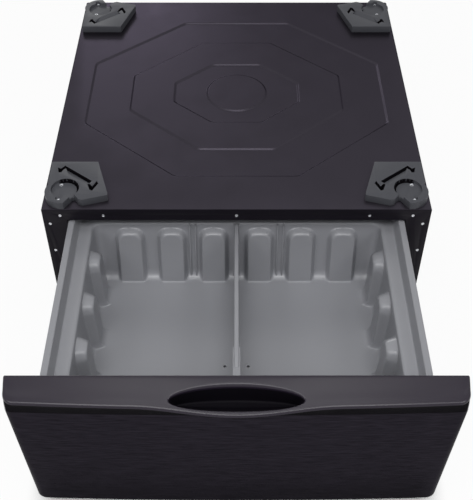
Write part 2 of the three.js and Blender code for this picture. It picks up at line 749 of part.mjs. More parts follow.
// ---------------------------------------------------------------- levelling feet
const footProfile = [
  [0, 0],
  [FOOT_PAD_RADIUS - FOOT_EDGE, 0],
  [FOOT_PAD_RADIUS, FOOT_EDGE],
  [FOOT_PAD_RADIUS, FOOT_PAD_HEIGHT - FOOT_SLOPE.height],
  [FOOT_PAD_RADIUS - FOOT_SLOPE.width, FOOT_PAD_HEIGHT],
  [FOOT_COLLAR_RADIUS, FOOT_PAD_HEIGHT],
  [FOOT_COLLAR_RADIUS, FOOT_PAD_HEIGHT + FOOT_COLLAR_HEIGHT],
  [FOOT_STUD_RADIUS, FOOT_PAD_HEIGHT + FOOT_COLLAR_HEIGHT],
  [FOOT_STUD_RADIUS, FOOT_STUD_TOP - FOOT_EDGE],
  [FOOT_STUD_RADIUS - FOOT_EDGE, FOOT_STUD_TOP],
  [0, FOOT_STUD_TOP],
];
function makeFootNut() {
  const corner = NUT_ACROSS_FLATS / Math.sqrt(3);
  const z0 = baseTop + FIT;
  const z1 = z0 + NUT_HEIGHT;
  const blank = cylinder(corner, 0, 0, z0, z1, 6);
  return blank.subtract(cylinder(FOOT_STUD_RADIUS + FIT, 0, 0, z0 - PAST, z1 + PAST, 16));
}
for (const { name, x, y } of footPlaces) {
  const corner = new THREE.Group();
  corner.position.set(x, y, 0);
  cabinet.add(corner);
  place(corner, `levelling_foot_${name}`, lathe(footProfile, 16), rubber);
  place(corner, `foot_nut_${name}`, makeFootNut(), zincSteel);
}

// ---------------------------------------------------------------- telescopic slides
// Each section is drawn for the right-hand side, open towards the drawer.
function channelProfile(webX, reach, half, lip) {
  const t = SLIDE_SHEET;
  const inner = webX - Math.sign(reach) * t;
  const tip = webX - reach;
  const tipIn = tip + Math.sign(reach) * t;
  const upper = lip > 0
    ? [[tip, half], [tip, half - lip], [tipIn, half - lip], [tipIn, half - t]]
    : [[tip, half], [tip, half - t]];
  const lower = upper.map(([x, z]) => [x, -z]).reverse();
  return polygon([[webX, -half], [webX, half], ...upper, [inner, half - t], [inner, t - half], ...lower]);
}
const slideHalf = SLIDE_HEIGHT / 2;
const midHalf = slideHalf - SLIDE_SHEET - SLIDE_BALL_GAP;
const innerHalf = midHalf - SLIDE_SHEET - SLIDE_BALL_GAP;
const outerReach = SLIDE_WIDTH - SLIDE_SHEET - FIT * 2;
const midWebX = slideOuterX - SLIDE_SHEET - SLIDE_BALL_GAP;

function slidePiece(profile, y) {
  return alongY(profile, y, y + SLIDE_LENGTH).translate([0, 0, slideMiddle]);
}
const outerSlide = slidePiece(
  channelProfile(slideOuterX, outerReach, slideHalf, SLIDE_LIP),
  SLIDE_SETBACK,
);
const midSlide = slidePiece(channelProfile(midWebX, MID_FLANGE, midHalf, 0), SLIDE_SETBACK);
const innerSlide = slidePiece(
  channelProfile(slideInnerX, -INNER_FLANGE, innerHalf, 0),
  SLIDE_SETBACK + CLOSED_GAP,
);

// The channel on the cabinet's side that carries the fixed slide member.
function makeSlideMount() {
  const x0 = slideOuterX + FIT;
  const y0 = FRAME_SHEET + FRAME_RETURN + FIT;
  const y1 = sideBack - PANEL_SHEET - FIT;
  const z0 = slideMiddle - MOUNT_HEIGHT / 2;
  const z1 = slideMiddle + MOUNT_HEIGHT / 2;
  const t = MOUNT_SHEET;
  const hollow = box(x0 + t, insideHalf + PAST, y0 - PAST, y1 + PAST, z0 + t, z1 - t);
  return box(x0, insideHalf, y0, y1, z0, z1).subtract(hollow);
}

// The carrier between the moving slide member and the tub: the tub's ledge rests on its top.
function makeCarrier() {
  const x0 = wallHalfX + TUB_WALL + FIT;
  const y1 = TUB_FRONT_GAP + TUB_LENGTH - RIM_STRIP;
  const z0 = slideMiddle - slideHalf;
  const z1 = ledgeTop - TUB_WALL - FIT;
  const t = CARRIER_SHEET;
  const back = y1 + PAST;
  const hollow = box(x0 - PAST, carrierOuterX - t, FIT + t, back, z0 + t, z1 - t);
  const footEdge = carrierOuterX - CARRIER_FOOT;
  const trimmed = box(x0 - PAST, footEdge, FIT + t, back, z0 - PAST, z0 + t + PAST);
  return cut(box(x0, carrierOuterX, FIT, y1, z0, z1), [hollow, trimmed]);
}

function makeBumper(side) {
  const post = cylinder(BUMPER_RADIUS, 0, 0, FIT, CLOSED_GAP - FIT, 12).rotate([-90, 0, 0]);
  return post.translate([side * (halfWidth - BUMPER_EDGE), 0, DECK_HEIGHT - BUMPER_DROP]);
}

const midSlides = new THREE.Group();
midSlides.position.y = cabinetFrontY - DRAWER_TRAVEL / 2;
pedestal.add(midSlides);
for (const [name, side] of Object.entries(SIDES)) {
  place(cabinet, `slide_mount_${name}`, sided(makeSlideMount(), side), galvanised);
  place(cabinet, `slide_outer_${name}`, sided(outerSlide, side), zincSteel);
  place(midSlides, `slide_mid_${name}`, sided(midSlide, side), zincSteel);
  place(drawer, `slide_inner_${name}`, sided(innerSlide, side), zincSteel);
  place(drawer, `drawer_carrier_${name}`, sided(makeCarrier(), side), galvanised);
  place(drawer, `bumper_${name}`, makeBumper(side), rubber);
}

// ---------------------------------------------------------------- tub
// Ribs along one wall: their middles, measured from the middle of the wall.
function sideRibs(straight) {
  const pitch = SIDE_RIB_WIDTH + SIDE_WEB_WIDTH;
  const count = Math.floor((2 * straight - 2 * RIB_FLANK + SIDE_WEB_WIDTH) / pitch);
  return Array.from({ length: count }, (_, i) => (i - (count - 1) / 2) * pitch);
}
function endRibs(straight) {
  const pitch = END_RIB_WIDTH + END_WEB_WIDTH;
  const first = (DIVIDER_WEB_WIDTH + END_RIB_WIDTH) / 2;
  const room = straight - RIB_FLANK - DIVIDER_WEB_WIDTH / 2;
  const count = Math.floor((room + END_WEB_WIDTH) / pitch);
  const half = Array.from({ length: count }, (_, i) => first + i * pitch);
  return [...half.map((middle) => -middle).reverse(), ...half];
}
const straightX = Math.min(
  wallHalfX - WALL_RADIUS_TOP,
  wallHalfX - WALL_DRAFT_SIDE - WALL_RADIUS_FLOOR,
);
const straightY = Math.min(
  wallHalfY - WALL_RADIUS_TOP,
  wallHalfY - WALL_DRAFT_END - WALL_RADIUS_FLOOR,
);
const ribsOnSides = { middles: sideRibs(straightY), width: SIDE_RIB_WIDTH };
const ribsOnEnds = { middles: endRibs(straightX), width: END_RIB_WIDTH };

// Points along a wall as [distance along it, distance in from it], for ribs of one depth.
function wallLine({ middles, width }, depth, skin) {
  const half = width / 2 - skin;
  const shoulder = RIB_EDGE * depth;
  return middles.flatMap((middle) => [
    [middle - half - RIB_FLANK, 0],
    [middle - half, shoulder],
    [middle - half + RIB_FLANK, depth],
    [middle + half - RIB_FLANK, depth],
    [middle + half, shoulder],
    [middle + half + RIB_FLANK, 0],
  ]);
}

// One level of the tub as a ring, counter-clockwise from above, starting on the right-hand wall.
function tubRing({ halfX, halfY, radius, z, shift = 0, sideLine = [], endLine = [] }) {
  const ring = [];
  const steps = 4;
  const walls = [
    { turn: 0, reach: halfX, along: halfY, line: sideLine },
    { turn: 1, reach: halfY, along: halfX, line: endLine },
    { turn: 2, reach: halfX, along: halfY, line: sideLine },
    { turn: 3, reach: halfY, along: halfX, line: endLine },
  ];
  for (const { turn, reach, along, line } of walls) {
    const local = line.map(([s, depth]) => [reach - depth, s]);
    for (let i = 0; i <= steps; i++) {
      const angle = (i / steps) * (Math.PI / 2);
      local.push([
        reach - radius + radius * Math.cos(angle),
        along - radius + radius * Math.sin(angle),
      ]);
    }
    const [c, s] = [[1, 0], [0, 1], [-1, 0], [0, -1]][turn];
    const turned = ([u, v]) => new THREE.Vector3(c * u - s * v, s * u + c * v + shift, z);
    ring.push(...local.map(turned));
  }
  return ring;
}

// A level of the drafted wall. skin is 0 inside and the wall's thickness outside; rib is the share
// of their depth that the ribs have there; sink draws the ring in where the wall turns into the
// floor.
function wallRing(z, { skin = 0, rib = 0, sink = 0 }) {
  const share = Math.max(0, Math.min(1, (ledgeTop - z) / WALL_DEPTH));
  const draftX = WALL_DRAFT_SIDE * share;
  const draftY = WALL_DRAFT_END * share;
  const radius = THREE.MathUtils.lerp(WALL_RADIUS_TOP, WALL_RADIUS_FLOOR, share);
  const ribX = rib * (WALL_DRAFT_SIDE - draftX - RIB_DRAFT.side * (1 - share) + RIB_STAND.side);
  const ribY = rib * (WALL_DRAFT_END - draftY - RIB_DRAFT.end * (1 - share) + RIB_STAND.end);
  return tubRing({
    halfX: wallHalfX - draftX + skin - sink,
    halfY: wallHalfY - draftY + skin - sink,
    radius: radius + skin - sink,
    z,
    sideLine: wallLine(ribsOnSides, ribX, skin),
    endLine: wallLine(ribsOnEnds, ribY, skin),
  });
}

function rimRing(z, inset) {
  return tubRing({
    halfX: rimHalfX - inset,
    halfY: rimHalfY - inset,
    radius: RIM_RADIUS - inset,
    z,
    shift: rimShift,
  });
}

// The turn from wall to floor, as rings from the wall down.
function filletRings(floor, radius, skin) {
  return [0, 0.5, 1].map((part) => {
    const angle = (part * Math.PI) / 2;
    return wallRing(floor + radius * (1 - Math.sin(angle)), {
      skin,
      rib: 1,
      sink: radius * (1 - Math.cos(angle)),
    });
  });
}

// How far the end wall's web stands from the middle of the walls at a height.
function webReach(z) {
  return wallHalfY - (WALL_DRAFT_END * (ledgeTop - z)) / WALL_DEPTH;
}

// A thin upright rib on an end wall's web, which stands as far from the web all the way up.
function makeGuide(x, end) {
  const foot = floorTop - TUB_WALL / 2;
  const toe = webReach(floorTop);
  const web = webReach(ribTop);
  const profile = polygon([
    [toe - GUIDE_STAND, foot],
    [toe + TUB_WALL / 2, foot],
    [web + TUB_WALL / 2, ribTop],
    [web - GUIDE_STAND, ribTop],
  ]);
  const guide = alongX(profile, x, x + GUIDE_THICKNESS);
  return end > 0 ? guide : guide.mirror([0, 1, 0]);
}

function makeTub() {
  const surface = new Surface();
  const under = floorTop - TUB_WALL;
  const rim = [
    rimRing(ledgeTop - TUB_WALL, RIM_STRIP - TUB_WALL),
    rimRing(rimTop - TUB_WALL, RIM_STRIP - TUB_WALL),
    rimRing(rimTop - TUB_WALL, 0),
    rimRing(rimTop, 0),
    rimRing(rimTop, RIM_STRIP),
    rimRing(ledgeTop, RIM_STRIP),
  ];
  const outside = [
    wallRing(ledgeTop - TUB_WALL, { skin: TUB_WALL }),
    wallRing(ribTop - TUB_WALL, { skin: TUB_WALL }),
    wallRing(ribTop - TUB_WALL, { skin: TUB_WALL, rib: RIB_SHOULDER.depth }),
    wallRing(ribTop - TUB_WALL - RIB_SHOULDER.drop, { skin: TUB_WALL, rib: 1 }),
    ...filletRings(under, FLOOR_FILLET + TUB_WALL, TUB_WALL),
  ];
  const inside = [
    wallRing(ledgeTop, {}),
    wallRing(ribTop, {}),
    wallRing(ribTop, { rib: RIB_SHOULDER.depth }),
    wallRing(ribTop - RIB_SHOULDER.drop, { rib: 1 }),
    ...filletRings(floorTop, FLOOR_FILLET, 0),
  ];
  surface.face(outside.at(-1), null, false);
  outside.slice(1).forEach((lower, i) => surface.band(lower, outside[i]));
  surface.face(rim[0], outside[0], false);
  rim.slice(1).forEach((next, i) => surface.band(rim[i], next));
  surface.face(rim.at(-1), inside[0], true);
  inside.slice(1).forEach((inner, i) => surface.band(inside[i], inner));
  surface.face(inside.at(-1), null, true);

  const webPitch = (DIVIDER_WEB_WIDTH + END_WEB_WIDTH) / 2 + END_RIB_WIDTH;
  const guides = [-1, 1].flatMap((end) =>
    [-1, 0, 1].flatMap((web) => {
      const width = end > 0 ? DIVIDER_THICKNESS : DIVIDER_THICKNESS + 2 * (FIT + SLEEVE_WALL);
      const clear = width / 2 + FIT;
      return [
        makeGuide(web * webPitch + clear, end),
        makeGuide(web * webPitch - clear - GUIDE_THICKNESS, end),
      ];
    }),
  );
  const drains = [-1, 1].map((side) =>
    cylinder(
      DRAIN_RADIUS,
      side * DRAIN_OFFSET.x,
      -DRAIN_OFFSET.y,
      under - PAST,
      floorTop + PAST,
      12,
    ),
  );
  return cut(unite([surface.solid(), ...guides]), drains).translate([0, tubCentreY, 0]);
}
place(drawer, "drawer_tub", makeTub(), tubPlastic);

// ---------------------------------------------------------------- divider
const dividerFoot = floorTop + DIVIDER_BOTTOM_GAP;
const dividerKnee = floorTop + FLOOR_FILLET;

function makeDivider() {
  const half = DIVIDER_THICKNESS / 2;
  const profile = polygon([
    [-DIVIDER_END, dividerKnee],
    [FLOOR_FILLET - DIVIDER_END, dividerFoot],
    [webReach(dividerFoot) - FIT - FLOOR_FILLET, dividerFoot],
    [webReach(dividerKnee) - FIT, dividerKnee],
    [webReach(ledgeTop) - FIT, ledgeTop],
    [-DIVIDER_END, ledgeTop],
  ]);
  return alongX(profile, -half, half).translate([0, tubCentreY, 0]);
}

// The sleeve slides over the front of the divider and fills the rest of the tub's length.
function makeDividerSleeve() {
  const inner = DIVIDER_THICKNESS / 2 + FIT;
  const outer = inner + SLEEVE_WALL;
  const profile = polygon([
    [-webReach(ledgeTop) + FIT, ledgeTop],
    [-webReach(dividerKnee) + FIT, dividerKnee],
    [-webReach(dividerFoot) + FIT + FLOOR_FILLET, dividerFoot],
    [-SLEEVE_START, dividerFoot],
    [-SLEEVE_START, ledgeTop],
  ]);
  const slot = box(
    -inner,
    inner,
    -DIVIDER_END - FIT,
    -SLEEVE_START + PAST,
    dividerFoot - PAST,
    ledgeTop + PAST,
  );
  return alongX(profile, -outer, outer).subtract(slot).translate([0, tubCentreY, 0]);
}
place(drawer, "divider", makeDivider(), tubPlastic);
place(drawer, "divider_front_sleeve", makeDividerSleeve(), tubPlastic);

// ---------------------------------------------------------------- drawer front
function faceShare(z) {
  return (faceTop - z) / (faceTop - FRONT_BOTTOM);
}
// The face's distance ahead of the back of the drawer front, across the width.
function faceReach(x, z, inset) {
  const share = faceShare(z);
  const middle = THREE.MathUtils.lerp(FACE_REACH_TOP, FACE_REACH_BOTTOM, share) - inset;
  const side = THREE.MathUtils.lerp(FACE_SIDE_TOP, FACE_SIDE_BOTTOM, share);
  const bow = (at) => middle - FACE_BOW * (at / halfWidth) ** 2;
  const cornerStart = halfWidth - FACE_CORNER;
  const past = Math.abs(x) - cornerStart;
  if (past <= 0) return bow(x);
  const round = Math.sqrt(Math.max(0, 1 - (past / (FACE_CORNER - inset)) ** 2));
  return side + (bow(cornerStart) - side) * round;
}

// Places across the width where the front is sampled, closer together in the rounded corners.
function faceStations(inset) {
  const reach = halfWidth - inset;
  const cornerStart = halfWidth - FACE_CORNER;
  const flat = Array.from({ length: 6 }, (_, i) => (cornerStart * i) / 6);
  const corner = Array.from({ length: 5 }, (_, i) => {
    return cornerStart + (reach - cornerStart) * Math.sin((i * Math.PI) / 8);
  });
  const half = [...flat, ...corner];
  return [...half.slice(1).map((x) => -x).reverse(), ...half];
}

function faceRing(z, inset) {
  const reach = halfWidth - inset;
  const across = faceStations(inset).map((x) => new THREE.Vector3(x, -faceReach(x, z, inset), z));
  return [new THREE.Vector3(reach, -inset, z), new THREE.Vector3(-reach, -inset, z), ...across];
}

// The front seen square on, with its two lower corners rounded.
function frontOutline(inset, top) {
  const reach = halfWidth - inset;
  const bottom = FRONT_BOTTOM + inset;
  const radius = FACE_BOTTOM_RADIUS - inset;
  const shape = new THREE.Shape();
  shape.moveTo(reach, top);
  shape.lineTo(-reach, top);
  shape.absarc(-reach + radius, bottom + radius, radius, Math.PI, 1.5 * Math.PI, false);
  shape.absarc(reach - radius, bottom + radius, radius, 1.5 * Math.PI, 2 * Math.PI, false);
  return shape;
}

function faceBody(inset, top) {
  const body = loft([faceRing(FRONT_BOTTOM + inset, inset), faceRing(top, inset)]);
  return body.intersect(alongY(frontOutline(inset, top), -CABINET_DEPTH / 2, PAST));
}

function makeFrontSkin() {
  const reach = halfWidth - FACE_FLANGE;
  const foot = FRONT_BOTTOM + FACE_BOTTOM_FLANGE;
  const back = box(-reach, reach, -FACE_SHEET - PAST, PAST, foot, faceTop + PAST);
  return cut(faceBody(0, faceTop), [faceBody(FACE_SHEET, faceTop + PAST), back]);
}
place(drawer, "drawer_front_skin", makeFrontSkin(), brushedSteel);

function makeBacking() {
  const reach = halfWidth - FACE_FLANGE - FIT;
  const bottom = FRONT_BOTTOM + FACE_BOTTOM_FLANGE + FIT;
  const fieldX = reach - BACKING_SIDE_MARGIN;
  const field = (inset) =>
    rectangleLoop(
      -fieldX + inset,
      fieldX - inset,
      bottom + BACKING_END_MARGIN + inset,
      faceTop - BACKING_END_MARGIN - inset,
    );
  const sheet = pressedSheet(
    [
      { points: rectangleLoop(-reach, reach, bottom, faceTop), level: BACKING_SHEET },
      { points: field(0), level: BACKING_SHEET },
      { points: field(PRESSING_SLOPE), level: BACKING_SHEET + BACKING_STEP },
    ],
    BACKING_SHEET,
  );
  return sheet.rotate([90, 0, 0]);
}
place(drawer, "front_backing_panel", makeBacking(), galvanised);

// The lip's distance ahead of the back of the drawer front.
function lipReach(x) {
  const end = halfWidth - LIP_RADIUS;
  const at = Math.min(Math.abs(x), end);
  const wave = Math.cos((Math.PI * at) / LIP_SWELL_LENGTH) ** 2;
  const swell = at < LIP_SWELL_LENGTH / 2 ? LIP_SWELL * wave : 0;
  const past = Math.abs(x) - end;
  const round = past > 0 ? LIP_RADIUS - Math.sqrt(Math.max(0, LIP_RADIUS ** 2 - past ** 2)) : 0;
  return LIP_REACH - LIP_BOW * (at / end) ** 2 + swell - round;
}

// The cap's upper side as [share of the lip's reach, height over the deck].
const CAP_CROWN = [
  [0, FRONT_TOP_RISE],
  [0.08, FRONT_TOP_RISE + CROWN_RISE],
  [0.44, -0.5],
  [0.74, -9.4],
  [0.95, -LIP_DROP],
];

// A cross-section of the cap in Y and Z at one place across the width.
function capRing(x, inset, bottom) {
  const lip = lipReach(x) - inset;
  const face = faceReach(x, faceTop, inset);
  const crown = new THREE.SplineCurve(
    CAP_CROWN.map(([share, rise]) => {
      return new THREE.Vector2(-inset - (lip - inset) * share, DECK_HEIGHT + rise - inset);
    }),
  );
  const nose = DECK_HEIGHT - LIP_DROP - inset;
  const under = new THREE.QuadraticBezierCurve(
    new THREE.Vector2(-lip + LIP_UNDER.back, nose - LIP_UNDER.drop + inset),
    new THREE.Vector2(-THREE.MathUtils.lerp(face, lip, UNDERCUT.share), nose - UNDERCUT.drop),
    new THREE.Vector2(-face, bottom),
  );
  const outline = [
    new THREE.Vector2(-inset, bottom),
    ...crown.getPoints(7),
    new THREE.Vector2(-lip, nose - LIP_TIP_DROP + inset / 2),
    ...under.getPoints(3),
  ];
  return outline.map(({ x: y, y: z }) => new THREE.Vector3(y, z, x));
}

function capStations(inset) {
  const reach = halfWidth - inset;
  const end = halfWidth - LIP_RADIUS;
  const swell = Array.from({ length: 7 }, (_, i) => (LIP_SWELL_LENGTH / 14) * i);
  const corner = [0, 0.5, 0.75, 0.92, 1].map((share) => end + (reach - end) * share);
  const half = [...swell, LIP_SWELL_LENGTH / 2, (LIP_SWELL_LENGTH / 2 + end) / 2, ...corner];
  return [...half.slice(1).map((x) => -x).reverse(), ...half];
}

function capBody(inset, bottom) {
  return loft(capStations(inset).map((x) => capRing(x, inset, bottom)), acrossX);
}

// The finger pocket seen from above: a lens with round ends, shrunk by inset.
function pocketRing(z, inset, halfLength, halfDepth, reach) {
  const sides = 32;
  return Array.from({ length: sides }, (_, i) => {
    const angle = (i * 2 * Math.PI) / sides;
    const along = Math.cos(angle);
    const across = Math.sin(angle);
    const depth = Math.sign(across) * Math.abs(across) ** (2 / POCKET_FULLNESS);
    const middle = reach + POCKET_CURVE * along ** 2;
    return new THREE.Vector3((halfLength - inset) * along, (halfDepth - inset) * depth - middle, z);
  });
}
const cupRim = DECK_HEIGHT - LIP_DROP - CAP_WALL;
const overCap = DECK_HEIGHT + FRONT_TOP_RISE + CROWN_RISE + PAST;
function mouthRing(z, inset) {
  return pocketRing(z, inset, POCKET_HALF_LENGTH, POCKET_HALF_DEPTH, POCKET_REACH);
}
function cupBody(inset, floor) {
  const length = POCKET_HALF_LENGTH - CUP_END_DRAFT;
  const foot = pocketRing(floor, inset, length, CUP_FLOOR_HALF, CUP_FLOOR_REACH);
  return loft([foot, mouthRing(cupRim, inset), mouthRing(overCap, inset)]);
}

const capOuter = capBody(0, capBottom);
function makeCap() {
  const mouth = loft([mouthRing(cupRim - PAST, 0), mouthRing(overCap, 0)]);
  return cut(capOuter, [capBody(CAP_WALL, capBottom - PAST), mouth]);
}
function makeHandleCup() {
  const floor = DECK_HEIGHT - POCKET_DEPTH;
  const outer = cupBody(FIT, floor - CUP_WALL).intersect(capOuter.translate([0, 0, -FIT]));
  return outer.subtract(cupBody(FIT + CUP_WALL, floor));
}
place(drawer, "drawer_top_cap", makeCap(), capPlastic);
place(drawer, "handle_cup", makeHandleCup(), pocketPlastic);

export default pedestal;
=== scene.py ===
import math

import bmesh
import bpy
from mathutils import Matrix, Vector


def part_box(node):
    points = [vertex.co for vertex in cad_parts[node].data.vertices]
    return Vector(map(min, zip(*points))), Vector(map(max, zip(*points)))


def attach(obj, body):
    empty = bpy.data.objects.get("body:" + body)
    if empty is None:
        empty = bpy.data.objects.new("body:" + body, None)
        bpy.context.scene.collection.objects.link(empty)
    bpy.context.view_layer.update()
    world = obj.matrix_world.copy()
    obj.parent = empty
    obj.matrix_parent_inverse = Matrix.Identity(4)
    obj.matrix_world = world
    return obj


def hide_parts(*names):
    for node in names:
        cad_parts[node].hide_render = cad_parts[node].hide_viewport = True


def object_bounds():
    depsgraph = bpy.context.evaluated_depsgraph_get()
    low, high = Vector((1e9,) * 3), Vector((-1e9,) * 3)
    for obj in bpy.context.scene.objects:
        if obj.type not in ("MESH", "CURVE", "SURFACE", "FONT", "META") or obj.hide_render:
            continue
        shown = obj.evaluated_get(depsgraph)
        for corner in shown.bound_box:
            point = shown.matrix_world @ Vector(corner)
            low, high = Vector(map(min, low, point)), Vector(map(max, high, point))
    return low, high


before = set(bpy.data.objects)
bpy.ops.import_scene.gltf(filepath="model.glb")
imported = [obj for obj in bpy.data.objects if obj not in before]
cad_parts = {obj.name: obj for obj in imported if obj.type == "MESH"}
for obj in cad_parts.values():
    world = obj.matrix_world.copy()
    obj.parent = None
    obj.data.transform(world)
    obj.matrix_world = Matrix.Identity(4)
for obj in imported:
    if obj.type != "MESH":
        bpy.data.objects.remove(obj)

cad_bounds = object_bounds()
MM = 0.001

# ---- places taken from the frame, in mm
FRONT_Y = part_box("front_frame")[0].y / MM
DRAWER_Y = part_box("drawer_front_skin")[1].y / MM
HALF_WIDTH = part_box("front_frame")[1].x / MM
DECK_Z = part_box("top_panel")[1].z / MM
TUB_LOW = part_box("drawer_tub")[0] / MM
TUB_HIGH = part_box("drawer_tub")[1] / MM
FACE_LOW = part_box("drawer_front_skin")[0] / MM
FACE_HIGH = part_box("drawer_front_skin")[1] / MM


# ---- node building
def add_node(tree, kind, inputs=None, **settings):
    """A node with its settings made and its inputs linked or filled in."""
    node = tree.nodes.new(kind)
    for name, value in settings.items():
        setattr(node, name, value)
    for key, value in (inputs or {}).items():
        socket = node.inputs[key]
        if isinstance(value, bpy.types.NodeSocket):
            tree.links.new(value, socket)
        elif isinstance(value, list):
            for part in value:
                tree.links.new(part, socket)
        else:
            socket.default_value = value
    return node


def made(*kind_and_inputs, **settings):
    """The first output of a new node."""
    return add_node(*kind_and_inputs, **settings).outputs[0]


def bare_tree(owner):
    """The emptied node tree of a material or a world."""
    owner.use_nodes = True
    owner.node_tree.nodes.clear()
    return owner.node_tree


def calc(tree, operation, a, b=0.0):
    """One sum on numbers, in either kind of tree."""
    return made(tree, "ShaderNodeMath", {0: a, 1: b}, operation=operation)


def spread(tree, value, low, high, to_low=0.0, to_high=1.0, blend="LINEAR"):
    """A value between two limits carried over to two others."""
    limits = {"From Min": low, "From Max": high, "To Min": to_low, "To Max": to_high}
    node = add_node(
        tree, "ShaderNodeMapRange", {"Value": value, **limits}, interpolation_type=blend
    )
    return node.outputs["Result"]


def noise(tree, place, scale, detail, roughness):
    inputs = {"Vector": place, "Scale": scale, "Detail": detail, "Roughness": roughness}
    return add_node(tree, "ShaderNodeTexNoise", inputs).outputs["Fac"]


def display(*channels):
    """A colour in display units, as the linear colour that a shader takes."""
    shares = [c / 255 for c in channels]
    linear = [c / 12.92 if c <= 0.04045 else ((c + 0.055) / 1.055) ** 2.4 for c in shares]
    return *linear, 1.0


# ---- finishes
NOISE_LOW, NOISE_HIGH = 0.3, 0.7


def shade(colour, factor):
    return tuple(min(1.0, c * factor) for c in colour[:3]) + (1.0,)


def finish(
    name, colour, roughness, metallic=0.0, specular=0.5, mottle=0.05, mottle_mm=70.0, streak=0.0,
    grain_mm=(0.8, 0.8, 0.8), grain_depth_mm=0.012, roughness_swing=0.06, edge_tint=1.0,
):
    """A moulded, painted or drawn surface: slow changes of shade, a grain and a rubbed sheen."""
    material = bpy.data.materials.new(name)
    tree = bare_tree(material)
    place = add_node(tree, "ShaderNodeTexCoord").outputs["Object"]
    slow = noise(tree, place, 1 / (mottle_mm * MM), 3.0, 0.55)
    grain_place = add_node(
        tree,
        "ShaderNodeMapping",
        {"Vector": place, "Scale": tuple(1 / (size * MM) for size in grain_mm)},
    ).outputs["Vector"]
    grain = noise(tree, grain_place, 1.0, 4.0, 0.6)
    tone = add_node(
        tree,
        "ShaderNodeMix",
        {0: slow, 6: shade(colour, 1 - mottle), 7: shade(colour, 1 + mottle)},
        data_type="RGBA",
    ).outputs[2]
    streaked = spread(tree, grain, NOISE_LOW, NOISE_HIGH, 1 - streak, 1 + streak)
    toned = made(tree, "ShaderNodeVectorMath", {0: tone, 3: streaked}, operation="SCALE")
    smoothest, roughest = roughness - roughness_swing, roughness + roughness_swing
    rough = spread(tree, slow, NOISE_LOW, NOISE_HIGH, smoothest, roughest)
    bump = add_node(
        tree,
        "ShaderNodeBump",
        {"Height": grain, "Strength": 1.0, "Distance": grain_depth_mm * MM},
    ).outputs["Normal"]
    shader = add_node(
        tree,
        "ShaderNodeBsdfPrincipled",
        {
            "Base Color": toned,
            "Roughness": rough,
            "Normal": bump,
            "Metallic": metallic,
            "Specular IOR Level": specular,
            "Specular Tint": (*(edge_tint,) * 3, 1.0),
        },
    )
    add_node(tree, "ShaderNodeOutputMaterial", {"Surface": shader.outputs["BSDF"]})
    return material


EVEN = {"mottle": 0.01, "roughness_swing": 0.01}
FINISHES = {
    "cabinet_paint": finish(
        "satin_grey_paint", display(56, 53, 60), 0.34, metallic=0.85, specular=0.1, edge_tint=0.3
    ),
    "frame_paint": finish("black_satin_paint", display(21, 18, 25), 0.5, specular=0.12),
    "bracket_plastic": finish(
        "grey_bracket_plastic", display(74, 75, 80), 0.55, specular=0.2, grain_mm=(0.5,) * 3
    ),
    "zinc_steel": finish(
        "bright_zinc", display(205, 206, 209), 0.28, metallic=1.0, mottle=0.04, mottle_mm=12.0
    ),
    "galvanised_sheet": finish(
        "galvanised_sheet", display(150, 152, 156), 0.42, metallic=0.9, mottle=0.12, mottle_mm=14.0
    ),
    "tub_plastic": finish(
        "satin_tub_plastic", display(146, 147, 152), 0.3, grain_mm=(0.6,) * 3, **EVEN
    ),
    "brushed_dark_steel": finish(
        "brushed_dark_steel", display(40, 37, 44), 0.36, metallic=1.0, edge_tint=0.5,
        mottle=0.04, streak=0.4, grain_mm=(32.0, 2.1, 2.1), grain_depth_mm=0.004,
    ),
    "cap_plastic": finish("satin_cap_plastic", display(35, 29, 41), 0.26, specular=0.32, **EVEN),
    "cup_plastic": finish("black_cup_plastic", display(11, 9, 14), 0.6, specular=0.05),
    "dark_rubber": finish(
        "black_rubber", display(34, 34, 35), 0.75, specular=0.2, grain_mm=(0.4,) * 3
    ),
}
# a dull near-black that paints shade into deep recesses and under the lip
PAINTED_DEEP_SHADE = finish("painted_recess_shade", display(12, 10, 14), 0.8, specular=0.04)


# ---- mesh building
def link(name, data):
    obj = bpy.data.objects.new(name, data)
    bpy.context.scene.collection.objects.link(obj)
    return obj


def object_of(name, work):
    """A mesh object from an edit that is done."""
    mesh = bpy.data.meshes.new(name)
    work.to_mesh(mesh)
    work.free()
    return link(name, mesh)


def build(name, points, faces, open_skin=False):
    """A mesh object from points in mm, with its doubles merged and its faces pointing out."""
    mesh = bpy.data.meshes.new(name)
    mesh.from_pydata([Vector(point) * MM for point in points], [], faces)
    work = bmesh.new()
    work.from_mesh(mesh)
    bmesh.ops.remove_doubles(work, verts=work.verts, dist=1e-6)
    bmesh.ops.dissolve_degenerate(work, edges=work.edges, dist=1e-7)
    bmesh.ops.recalc_face_normals(work, faces=work.faces)
    if open_skin:
        face_up(work)
    work.to_mesh(mesh)
    work.free()
    return link(name, mesh)


def face_up(work):
    """Turns an open skin so that its broad side looks up."""
    bmesh.ops.recalc_face_normals(work, faces=work.faces)
    if sum(face.normal.z * face.calc_area() for face in work.faces) < 0:
        bmesh.ops.reverse_faces(work, faces=work.faces)


def bake(obj):
    """The object with its modifiers turned into a plain mesh."""
    evaluated = obj.evaluated_get(bpy.context.evaluated_depsgraph_get())
    mesh = bpy.data.meshes.new_from_object(evaluated)
    obj.modifiers.clear()
    obj.data = mesh
    return obj


def smooth(obj, angle=35):
    obj.data.shade_smooth()
    obj.data.set_sharp_from_angle(angle=math.radians(angle))
    return obj


def modify(obj, kind, **settings):
    modifier = obj.modifiers.new(kind.lower(), kind)
    for name, value in settings.items():
        setattr(modifier, name, value)


def round_edges(obj, width_mm, segments=2, angle=30):
    limit = {"limit_method": "ANGLE", "angle_limit": math.radians(angle)}
    modify(obj, "BEVEL", width=width_mm * MM, segments=segments, **limit)
    return bake(obj)


def settle(obj, body, slot, *nodes):
    """Gives a finished piece its material, its body and the CAD nodes that it stands for."""
    obj.data.materials.clear()
    obj.data.materials.append(FINISHES[slot])
    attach(obj, body)
    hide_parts(*nodes)
    return obj


